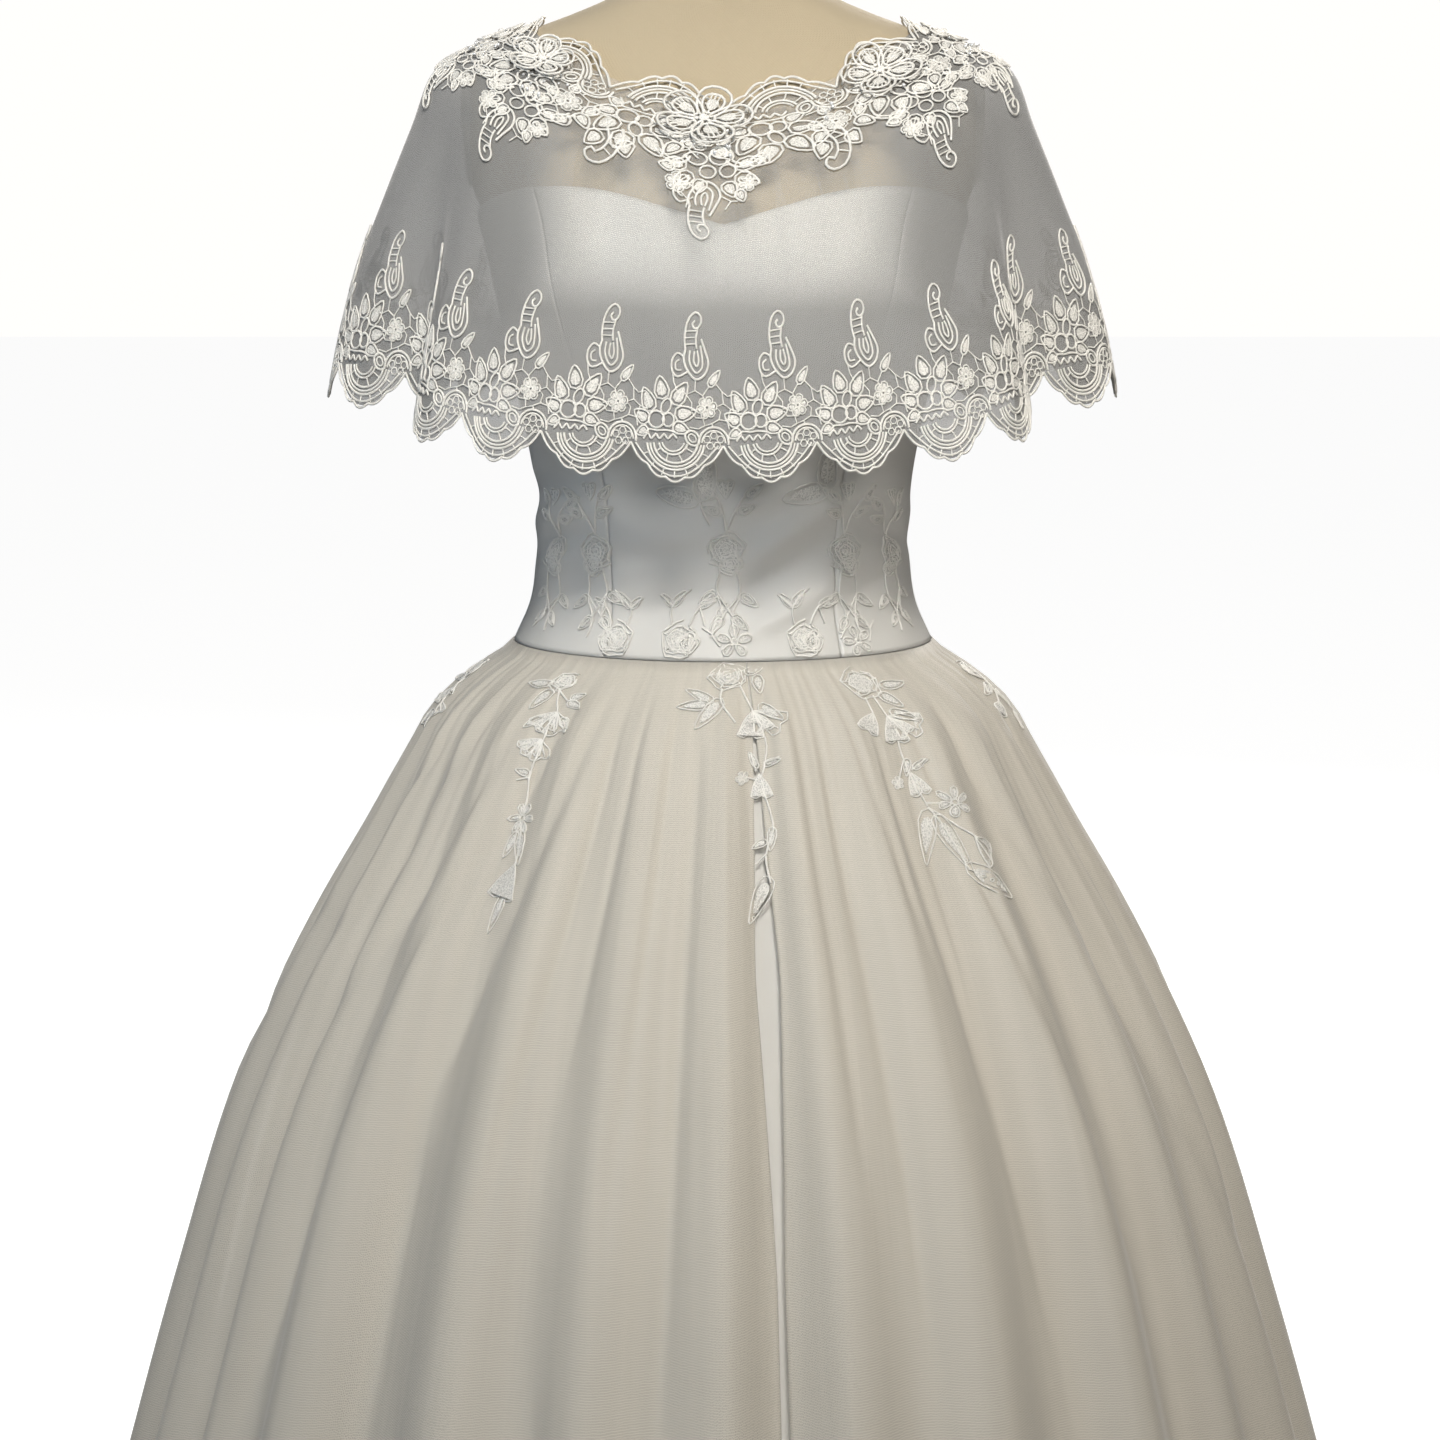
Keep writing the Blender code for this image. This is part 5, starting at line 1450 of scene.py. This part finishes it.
class DRESS_OT_tulle_skirt(bpy.types.Operator):
    """Two gathered tulle panels that part at the slit"""

    bl_idname = "dress.tulle_skirt"
    bl_label = "Tulle skirt"

    def execute(self, context):
        settings = context.scene.dress_skirt
        material = tulle_material(
            "skirt_tulle", settings.tulle_color, settings.tulle_cover, 620.0, streaks=0.22
        )
        for label, start, end in (("left", -180.0, SLIT_ANGLE), ("right", SLIT_ANGLE, 180.0)):
            def place(across, up, start=start, end=end):
                z = HEM_Z + (SKIRT_TOP_Z - HEM_Z) * (1 - (1 - up) ** 1.25)
                middle = np.full(z.shape, (start + end) / 2)
                radius = np.linalg.norm(skirt_oval(middle * 0 + SLIT_ANGLE, z)[:, :2], axis=1)
                slit = np.degrees(straight_at(SLIT, "width", z) / 2 / radius)
                low = slit if start == SLIT_ANGLE else 0.02
                high = slit if end == SLIT_ANGLE else 0.02
                angle = start + low + (end - start - low - high) * across
                return tulle_face(angle, z)

            mesh = cloth_mesh("gathered_tulle_" + label, place, 430, 52, (2.3, 1.12))
            piece = add_piece(mesh.name, mesh, material, ["tulle_skirt_" + label])
            give_wall(piece, settings.tulle_thickness)
        return {"FINISHED"}


# Operators: the cape and its lace

def cape_edge(x):
    """How far the hem's scallops rise above their tips, in metres, at a distance in repeats."""
    return SCALLOP_DEPTH * MM * (1 - np.abs(np.sin(math.pi * np.asarray(x))))


class DRESS_OT_cape(bpy.types.Operator):
    """Sheer tulle cape, front and back, cut to the scallops of its lace"""

    bl_idname = "dress.cape"
    bl_label = "Cape"

    def execute(self, context):
        settings = context.scene.dress_cape
        # side=0.30 is the cover added where shade is painted on the cape's sides and under the bust, where the colour
        # is also darkened
        material = tulle_material(
            "cape_tulle", settings.tulle_color, settings.tulle_cover, 700.0, side=0.30, streaks=0.16
        )
        measure = CapeMeasure(1.0, HEM_REPEATS)
        for label, start in (("front", -90.0), ("back", 90.0)):
            def place(across, up, start=start):
                angle = start + 180 * across
                x = np.interp(wrapped(angle), measure.angles, measure.run) / measure.repeat
                end = 1 - (cape_edge(x) + 1.2 * MM) / measure.length_at(wrapped(angle))
                return cape_outer(angle, end * (1 - up))

            mesh = cloth_mesh("cape_tulle_" + label, place, 280, 40, (0.95, 0.29))
            piece = add_piece(mesh.name, mesh, material, ["cape_" + label])
            give_wall(piece, 0.4 * MM)
        return {"FINISHED"}


class DRESS_OT_hem_lace(bpy.types.Operator):
    """Corded lace with scallops and tulips round the hem of the cape"""

    bl_idname = "dress.hem_lace"
    bl_label = "Hem lace"

    def execute(self, context):
        measure = CapeMeasure(1.0, HEM_REPEATS)
        width = REPEAT_WIDTH * MM

        def place(x, y, height):
            angle = measure.angle_at(x / width)
            return cape_outer(angle, 1 - y / measure.length_at(angle), height)

        chart = hem_chart()
        half = HEM_FRONT_REPEATS // 2
        for label, first, count in (
            ("front", -half, HEM_FRONT_REPEATS), ("back", half, HEM_REPEATS - HEM_FRONT_REPEATS),
        ):
            lines = []
            for i in range(first, first + count):
                lines += placed(chart, (i * REPEAT_WIDTH, 0.0))
            lay_cords("hem_guipure_" + label, [(lines, place)], 0.9 * MM, ["hem_lace_" + label])
        return {"FINISHED"}


def collar_placer():
    """A function that lays collar charts on the cape, the scallops at the neck.

    Round a center, given in repeats, what hangs low keeps its width although the cape flares.
    """
    measure = CapeMeasure(0.0, COLLAR_REPEATS)
    width = REPEAT_WIDTH * MM
    flare_drops = np.linspace(CAPE_LOW, 0.6, 27)
    sides = column_at(CAPE, "half_width", flare_drops)
    fronts = column_at(CAPE, "front", flare_drops)
    spans = (sides + fronts) / (column_at(CAPE, "half_width", 0.0) + column_at(CAPE, "front", 0.0))

    def place(x, y, height, center=None):
        share = x / width
        if center is not None:
            length = measure.length_at(measure.angle_at(center))
            flare = np.interp(CAPE_LOW + y / length, flare_drops, spans)
            narrow = 1 + (1 / flare - 1) * eased((y - 0.050) / 0.020)
            share = center + (share - center) * narrow
        angle = measure.angle_at(share)
        drop = CAPE_LOW + y / measure.length_at(angle)
        return cape_outer(angle, drop, height)

    return place


class DRESS_OT_collar_lace(bpy.types.Operator):
    """The same lace turned over at the neckline, with long pendants and hooks"""

    bl_idname = "dress.collar_lace"
    bl_label = "Collar lace"

    def execute(self, context):
        place = collar_placer()
        half = COLLAR_FRONT_REPEATS // 2
        for label, first, count in (
            ("front", -half, COLLAR_FRONT_REPEATS), ("back", half, COLLAR_REPEATS - COLLAR_FRONT_REPEATS),
        ):
            band = []
            for i in range(first, first + count):
                band += placed(collar_chart(), (i * REPEAT_WIDTH, 0.0))
            charts = [(band, place)]
            for pendant in PENDANTS:
                if first < pendant.repeat < first + count:
                    lines = placed(PENDANT_CHARTS[pendant.kind](), (pendant.repeat * REPEAT_WIDTH, 0.0))
                    charts.append((lines, partial(place, center=pendant.repeat)))
            lay_cords("collar_guipure_" + label, charts, 1.4 * MM, ["collar_lace_" + label], True)
        return {"FINISHED"}


class DRESS_OT_collar_flowers(bpy.types.Operator):
    """Loose flowers with ribbed petals on the collar"""

    bl_idname = "dress.collar_flowers"
    bl_label = "Collar flowers"

    def execute(self, context):
        settings = context.scene.dress_lace
        place = collar_placer()
        width = REPEAT_WIDTH * MM
        for flower in COLLAR_FLOWERS:
            size = flower.radius / MM
            lines = []
            for k in range(5):
                angle = flower.turn + 72 * k
                foot = (math.cos(math.radians(angle)) * 1.6, math.sin(math.radians(angle)) * 1.6)
                lines += petal(*foot, angle, size - 1.6, size * 0.66, 2, 0.72, 16, point=-0.28)
                vein = turned([(size * 0.45, -1.6), (size * 0.82, -2.6)], angle)
                twin = turned([(size * 0.45, 1.6), (size * 0.82, 2.6)], angle)
                lines += [Line(vein, 0.4, False), Line(twin, 0.4, False)]
            lines += [ring(0, 0, 2.2, 2.2, 0, 0.8, 8), ring(0, 0, 0.9, 0.9, 0, 0.8, 6)]
            mesh = cord_mesh(flower.name, lines, settings.cord_scale)
            flat = mesh_points(mesh)
            reach = np.linalg.norm(flat[:, :2], axis=1) / flower.radius
            rise = settings.flower_rise * flower.rise * reach**1.5 + 1.2 * MM * (reach < 0.12)
            x, y = flower.repeat * width + flat[:, 0], flower.down - flat[:, 1]
            set_points(mesh, place(x, y, 3.4 * MM + flat[:, 2] + rise))
            add_piece("petals_" + flower.name, mesh, lace_materials(settings), [flower.name])
        return {"FINISHED"}


class DRESS_OT_beads(bpy.types.Operator):
    """Clusters of small beads between the collar's flowers"""

    bl_idname = "dress.beads"
    bl_label = "Beads"

    def execute(self, context):
        settings = context.scene.dress_lace
        place = collar_placer()
        pick = random.Random(4)
        bm = bmesh.new()
        for cluster in BEAD_CLUSTERS:
            for _ in range(cluster.count):
                dx = pick.uniform(-1, 1) * cluster.spread
                dy = pick.uniform(-1, 1) * cluster.spread * 1.2
                radius = settings.bead_size / 2 * pick.uniform(0.45, 1.0)
                x = cluster.repeat * REPEAT_WIDTH * MM + dx
                spot = place(np.array([x]), np.array([cluster.down + dy]), np.array([2.6 * MM + radius * 0.5]))[0]
                made = bmesh.ops.create_uvsphere(bm, u_segments=8, v_segments=5, radius=radius)
                bmesh.ops.translate(bm, verts=made["verts"], vec=Vector(spot))
        mesh = bpy.data.meshes.new("collar_beads")
        bm.to_mesh(mesh)
        bm.free()
        mesh.shade_smooth()
        add_piece("collar_beads", mesh, bead_material())
        return {"FINISHED"}


# Lace applied to the gown

def stems(*runs):
    """Thin double stems through points."""
    lines = []
    for run in runs:
        lines.append(path(run, 0.65, steps=3))
    return lines


def skirt_spray():
    """The spray that hangs from the waist seam: rose, leaves, lily, buds and a long dotted leaf."""
    lines = rose(0, 0, 13, 10) + lily(16, -30, -62, 20)
    lines += stems(
        [(8, -9), (12, -20), (16, -30)], [(-4, -11), (-5, -22), (4, -38)], [(21, -42), (25, -56), (23, -72)],
        [(23, -68), (33, -63)], [(18, -74), (14, -62)], [(23, -72), (20, -80), (10, -78)],
        [(22, -86), (27, -102), (29, -114), (24, -132), (27, -150)], [(25, -130), (17, -138)],
    )
    for x, y, turn, length, width in (
        (-10, -22, 151, 21, 6.5), (-12, -24, 186, 23, 6.5), (-4, -19, 232, 31, 8), (19, 1, -82, 17, 6.5),
        (11, 3, 20, 13, 6), (20, -25, -34, 19, 6.5), (23, -70, 28, 12, 3.6), (19, -72, 118, 13, 3.6),
        (29, -112, 262, 17, 4.6), (25, -122, 205, 12, 4),
    ):
        lines += petal(x, y, turn, length, width, 1, 0.5)
    lines += bell_bud(20, -76, 276, 15) + blossom(8, -78, 4.5, 5, 40) + ring_row(27, -149, 243, 5)
    return lines + petal(27, -146, 243, 34, 9.5, 1, 0.5, 14)


def left_spray():
    """The spray left of the middle: twigs and lilies, then a star and three long leaves below."""
    lines = rose(2, -3, 9.5, 30) + lily(13, -30, -96, 17) + lily(11, -52, -110, 14)
    lines += stems(
        [(3, -10), (7, -20), (13, -30)], [(4, -12), (15, -20), (20, -18)], [(12, -40), (13, -54), (10, -80), (14, -104)],
        [(10, -80), (3, -82)], [(16, -114), (21, -128), (22, -142)], [(22, -158), (21, -172)],
    )
    for x, y, turn, length, width in (
        (-5, -6, 186, 20, 6), (-1, -11, 250, 19, 7.5), (16, -18, 30, 11, 5), (16, -20, -24, 13, 5),
        (5, -34, 226, 14, 5), (19, -34, -52, 14, 5), (10, -78, 158, 10, 4), (17, -116, 288, 26, 8),
        (15, -118, 256, 20, 5.5), (21, -160, 265, 30, 6.5),
    ):
        lines += petal(x, y, turn, length, width, 1, 0.5)
    return lines + blossom(15, -109, 11, 6, 8, 0.36) + bell_bud(22, -140, 263, 23)


def right_spray():
    """The spray right of the middle, which runs out sideways and ends in long dotted leaves."""
    lines = rose(0, 0, 14.5, 70) + lily(5, -30, -58, 20) + bell_bud(-5, -26, 228, 16)
    lines += stems(
        [(3, -12), (4, -22), (5, -30)], [(-4, -13), (-5, -26)], [(6, -44), (5, -58), (8, -76), (13, -96)],
        [(6, -62), (-3, -76)], [(9, -70), (22, -63)], [(13, -94), (24, -95)], [(13, -97), (25, -107), (39, -120)],
        [(14, -98), (20, -112), (28, -142)],
    )
    for x, y, turn, length, width in (
        (12, -4, 4, 21, 6.5), (8, -10, -48, 17, 7), (8, -26, -20, 20, 6.5), (10, -69, 24, 14, 3.8),
        (8, -62, 255, 13, 4), (13, -98, 253, 41, 9.5), (16, -102, -70, 44, 10), (26, -138, -38, 48, 11),
    ):
        lines += petal(x, y, turn, length, width, 1, 0.5, 12)
    lines += bell_bud(8, -72, 284, 15) + bell_bud(37, -119, -52, 20) + blossom(-4, -78, 4.5, 5, 20)
    return lines + blossom(31, -94, 11, 6, 20, 0.36) + ring_row(17, -105, -70, 6) + ring_row(27, -139, -38, 6)


def ring_row(x, y, turn, count):
    """Small rings in a row, as inside the long leaves."""
    a = math.radians(turn)
    reaches = [7 + 5.0 * k for k in range(count)]
    return [ring(x + math.cos(a) * r, y + math.sin(a) * r, 1.2, 1.2, 0, 0.4, 6) for r in reaches]


def lily(x, y, turn, size):
    """A hanging flower of three trumpets."""
    lines = bell_bud(x, y, turn + 34, size) + bell_bud(x, y, turn - 34, size * 0.92)
    return lines + bell_bud(x + 1, y - 1, turn, size * 0.72)


def side_spray():
    """A short spray for the sides of the skirt."""
    lines = rose(0, 0, 11, 40)
    lines += stems([(0, -8), (3, -24), (-2, -44)], [(3, -24), (12, -32)])
    for x, y, turn, length in (
        (0, -10, 200, 17), (2, -16, -30, 17), (3, -24, 215, 15), (-2, -44, 240, 16), (-2, -44, -60, 15),
    ):
        lines += petal(x, y, turn, length, 6, 2, 0.5)
    return lines + bell_bud(12, -32, -50, 12) + blossom(-8, -34, 5.5, 5, 15)


def bodice_branch():
    """The upright branch on a bodice seam: rose in the middle, twigs down to the waist."""
    lines = rose(0, 0, 12.5, 200) + rose(3, -9, 8, 40)
    lines += stems(
        [(0, 11), (-2, 24), (-6, 36)], [(0, 11), (6, 26), (12, 36)], [(-4, -14), (-6, -28), (-2, -44), (-10, -58)],
        [(7, -14), (9, -30), (4, -44), (6, -58)], [(-6, -28), (4, -44)], [(9, -30), (-2, -44)],
    )
    for x, y, turn, length in (
        (-6, 34, 140, 15), (12, 34, 40, 15), (-3, 24, 160, 13), (7, 24, 24, 13), (-6, -28, 215, 14),
        (9, -30, -35, 14), (-2, -44, 232, 13), (4, -44, -42, 13),
    ):
        lines += petal(x, y, turn, length, 5.4, 2, 0.5)
    return lines + bell_bud(0, 34, 92, 11)


def seam_rose():
    """A rose on the waist seam with bare twigs above it."""
    lines = rose(0, 0, 12.5, 60) + rose(6, -2, 7.5, 200)
    lines += stems([(-5, 10), (-6, 22), (6, 34)], [(-6, 22), (-14, 30)], [(6, 10), (12, 22), (22, 26)], [(12, 22), (16, 10)])
    lines += petal(-6, 22, 52, 14, 4.4, 1, 0.5) + petal(-6, 22, 128, 11, 4, 1, 0.5) + petal(12, 22, 30, 11, 4, 1, 0.5)
    return lines


def seam_star():
    """An open flower of five narrow petals on the waist seam, with a twig."""
    lines = blossom(0, 0, 11, 5, 90, 0.42, 0.6) + ring_row(-7, 0, 0, 1)
    lines += stems([(-9, -3), (-14, 5), (-10, 16)], [(-14, 5), (-20, 9)])
    return lines + petal(-10, 15, 60, 12, 4.2, 1, 0.5)


def leaf_pair():
    """Two veined leaves that meet at a point."""
    lines = []
    for turn, length, width in ((168, 30, 12), (76, 29, 12)):
        lines += petal(0, 0, turn, length, width, 1, 0.5, 14, point=0.25)
        lines += placed(leaf_veins(length, width), turn=turn)
    lines += stems([(0, 0), (2, -8), (6, -16)])
    return lines


def leaf_veins(length, width):
    """Slanting veins on both sides of a leaf's rib."""
    lines = []
    for k in range(1, 6):
        x = length * (0.12 + 0.13 * k)
        reach = width * 0.36 * math.sin(math.pi * (0.15 + 0.14 * k))
        for side in (-1, 1):
            lines.append(Line(np.array([(x, 0), (x + 2.6, side * reach)]), 0.35, False))
    return lines


Applied = namedtuple("Applied", "name nodes angle z chart turn scale flip")
SKIRT_LACE = [
    Applied("skirt_spray_center", ["skirt_lace_center"], 1.2, 1.0515, skirt_spray, 0, 1.0, False),
    Applied("skirt_spray_left", ["skirt_lace_left"], -40.5, 1.0460, left_spray, 0, 1.0, False),
    Applied("skirt_spray_right", ["skirt_lace_right"], 33.5, 1.0445, right_spray, 0, 1.0, False),
    Applied("skirt_spray_side_left", ["skirt_lace_side_left"], -84.0, 1.040, side_spray, 0, 1.0, False),
    Applied("skirt_spray_side_right", ["skirt_lace_side_right"], 82.0, 1.040, side_spray, 0, 1.0, True),
]
BODICE_LACE = [
    Applied("branch_center", ["bodice_lace_center"], 0.8, 1.134, bodice_branch, 0, 1.0, False),
    Applied("branch_left", ["bodice_lace_left"], -40.6, 1.130, bodice_branch, 6, 1.0, True),
    Applied("branch_right", ["bodice_lace_right"], 38.8, 1.130, bodice_branch, 0, 1.0, False),
    Applied("branch_side_left", ["bodice_lace_side_left"], -61.0, 1.126, bodice_branch, -4, 0.94, False),
    Applied("branch_side_right", ["bodice_lace_side_right"], 61.0, 1.126, bodice_branch, 4, 0.94, True),
    Applied("seam_rose_left", ["bodice_rose_left"], -12.2, 1.0738, seam_rose, 0, 1.0, False),
    Applied("seam_rose_right", ["bodice_rose_right"], 22.5, 1.0738, seam_rose, 0, 1.0, False),
    Applied("seam_rose_outer", [], -30.5, 1.0728, seam_rose, 0, 0.96, True),
    Applied("seam_star_center", [], 3.0, 1.0735, seam_star, 0, 1.0, False),
    Applied("seam_star_right", [], 39.5, 1.0700, seam_star, 12, 0.96, True),
    Applied("leaf_pair_left", ["bodice_leaves_left"], -6.6, 1.166, leaf_pair, 0, 1.0, False),
    Applied("leaf_pair_right", ["bodice_leaves_right"], 32.0, 1.172, leaf_pair, 22, 1.0, False),
]


def lay_applied(pieces, face, ground, lift):
    """Lay charts on a face of the gown, each round its own angle and height, measured along the cloth."""
    for item in pieces:
        heights = np.linspace(item.z - 0.22, min(item.z + 0.09, SKIRT_TOP_Z if face is tulle_face else 2.0), 621)
        spine = ground(np.full(heights.shape, item.angle), heights)
        steps = np.linalg.norm(np.diff(spine, axis=0), axis=1)
        risen = np.concatenate([[0.0], np.cumsum(steps)])
        risen -= np.interp(item.z, heights, risen)

        def place(x, y, height, item=item, heights=heights, risen=risen):
            z = np.interp(y, risen, heights)
            middle = np.full(z.shape, item.angle)
            reach = np.linalg.norm(ground(middle + 1, z) - ground(middle - 1, z), axis=-1) / 2
            angle = middle + x / reach
            return lifted(face, angle, z, height)

        lines = placed(item.chart(), turn=item.turn, scale=item.scale, flip=item.flip)
        lay_cords(item.name, [(lines, place)], lift, item.nodes)


class DRESS_OT_bodice_lace(bpy.types.Operator):
    """Branches, roses and leaf pairs sewn on the bodice"""

    bl_idname = "dress.bodice_lace"
    bl_label = "Bodice lace"

    def execute(self, context):
        lay_applied(BODICE_LACE, bodice_face, form_face, 0.9 * MM)
        return {"FINISHED"}


class DRESS_OT_skirt_lace(bpy.types.Operator):
    """Sprays that hang from the waist seam over the tulle"""

    bl_idname = "dress.skirt_lace"
    bl_label = "Skirt lace"

    def execute(self, context):
        lay_applied(SKIRT_LACE, tulle_face, skirt_oval, 0.6 * MM)
        return {"FINISHED"}


# Stage

class DRESS_OT_stage(bpy.types.Operator):
    """Pale floor and backdrop, soft lights and the camera"""

    bl_idname = "dress.stage"
    bl_label = "Stage"

    def execute(self, context):
        settings = context.scene.dress_stage
        self.make_floor()
        self.make_lights()
        self.make_camera(context.scene, settings)
        return {"FINISHED"}

    def make_floor(self):
        bm = bmesh.new()
        bmesh.ops.create_grid(bm, x_segments=1, y_segments=1, size=30.0)
        mesh = bpy.data.meshes.new("studio_floor")
        bm.to_mesh(mesh)
        bm.free()
        material, tree, shader = new_material("studio_paper", 0.95)
        shader.inputs["Base Color"].default_value = (0.52, 0.52, 0.51, 1)
        ray = tree.nodes.new("ShaderNodeLightPath")
        glow = math_node(tree, "MULTIPLY", ray.outputs["Is Camera Ray"], 0.93)
        tree.links.new(glow, shader.inputs["Emission Strength"])
        shader.inputs["Emission Color"].default_value = (1, 1, 1, 1)
        mesh.materials.append(material)
        floor = bpy.data.objects.new("studio_floor", mesh)
        bpy.context.scene.collection.objects.link(floor)

    def make_lights(self):
        lights = [
            ("key", (0.12, -2.1, 2.95), (0.06, 0.8, 2.95), 0.9, 88, (1.0, 0.965, 0.90), 180),
            ("window", (-2.5, -2.3, 1.7), (0, 0, 1.22), 1.6, 2.7, (0.52, 0.74, 1.0), 70),
            ("lamp", (2.6, -1.6, 1.8), (0, 0, 0.9), 2.0, 3.5, (1.0, 0.90, 0.76), 180),
            ("waist", (0.30, -2.6, 1.75), (-0.04, 0, 1.12), 0.5, 0.95, (1.0, 0.97, 0.92), 44),
            ("rear", (0.8, 2.7, 2.8), (0, 0, 0.9), 1.4, 95, (1.0, 0.97, 0.94), 180),
        ]
        for name, spot, aim, size, power, color, spread in lights:
            data = bpy.data.lights.new(name, "AREA")
            data.spread = math.radians(spread)
            data.shape = "DISK"
            data.size = size
            data.energy = power
            data.color = color
            lamp = bpy.data.objects.new(name, data)
            lamp.location = spot
            lamp.rotation_euler = (Vector(aim) - Vector(spot)).to_track_quat("-Z", "Y").to_euler()
            bpy.context.scene.collection.objects.link(lamp)
        world = bpy.data.worlds.new("studio_air")
        world.use_nodes = True
        sky = world.node_tree.nodes["Background"]
        sky.inputs[0].default_value = (1.0, 0.98, 0.96, 1)
        ray = world.node_tree.nodes.new("ShaderNodeLightPath")
        seen = math_node(world.node_tree, "MULTIPLY_ADD", ray.outputs["Is Camera Ray"], 0.96)
        seen.node.inputs[2].default_value = 0.06
        world.node_tree.links.new(seen, sky.inputs[1])
        bpy.context.scene.world = world
        bpy.context.scene.view_settings.view_transform = "Standard"

    def make_camera(self, scene, settings):
        data = bpy.data.cameras.new("camera")
        data.sensor_width = 36.0
        data.lens = settings.camera_lens
        data.clip_start = 0.05
        camera = bpy.data.objects.new("camera", data)
        camera.location = (-0.002, -settings.camera_distance, settings.camera_height)
        camera.rotation_euler = (math.pi / 2 - settings.camera_tilt, 0, 0)
        scene.collection.objects.link(camera)
        scene.camera = camera


class DRESS_PT_pieces(bpy.types.Panel):
    """The pieces of the dress and their settings"""

    bl_idname = "DRESS_PT_pieces"
    bl_label = "Wedding dress"
    bl_space_type = "VIEW_3D"
    bl_region_type = "UI"
    bl_category = "Dress"

    def draw(self, context):
        for group, operators in PANEL_ROWS:
            box = self.layout.box()
            settings = getattr(context.scene, group)
            for name in settings.__annotations__:
                box.prop(settings, name)
            for operator in operators:
                box.operator(operator.bl_idname)


SETTINGS = {
    "dress_form": DressFormSettings,
    "dress_bodice": BodiceSettings,
    "dress_skirt": SkirtSettings,
    "dress_cape": CapeSettings,
    "dress_lace": LaceSettings,
    "dress_stage": StageSettings,
}
PANEL_ROWS = [
    ("dress_form", [DRESS_OT_form]),
    ("dress_bodice", [DRESS_OT_bodice, DRESS_OT_buttons, DRESS_OT_satin_skirt]),
    ("dress_skirt", [DRESS_OT_tulle_skirt]),
    ("dress_cape", [DRESS_OT_cape]),
    ("dress_lace", [
        DRESS_OT_hem_lace, DRESS_OT_collar_lace, DRESS_OT_collar_flowers, DRESS_OT_beads,
        DRESS_OT_bodice_lace, DRESS_OT_skirt_lace,
    ]),
    ("dress_stage", [DRESS_OT_stand, DRESS_OT_stage]),
]


def register():
    for name, settings in SETTINGS.items():
        bpy.utils.register_class(settings)
        setattr(bpy.types.Scene, name, PointerProperty(type=settings))
    for _, operators in PANEL_ROWS:
        for operator in operators:
            bpy.utils.register_class(operator)
    bpy.utils.register_class(DRESS_PT_pieces)


def unregister():
    bpy.utils.unregister_class(DRESS_PT_pieces)
    for _, operators in reversed(PANEL_ROWS):
        for operator in reversed(operators):
            bpy.utils.unregister_class(operator)
    for name, settings in SETTINGS.items():
        delattr(bpy.types.Scene, name)
        bpy.utils.unregister_class(settings)


def main():
    register()
    bpy.ops.dress.stage()
    bpy.ops.dress.form()
    bpy.ops.dress.stand()
    bpy.ops.dress.bodice()
    bpy.ops.dress.buttons()
    bpy.ops.dress.satin_skirt()
    bpy.ops.dress.tulle_skirt()
    bpy.ops.dress.cape()
    bpy.ops.dress.hem_lace()
    bpy.ops.dress.collar_lace()
    bpy.ops.dress.collar_flowers()
    bpy.ops.dress.beads()
    bpy.ops.dress.bodice_lace()
    bpy.ops.dress.skirt_lace()


if __name__ == "__main__":
    main()
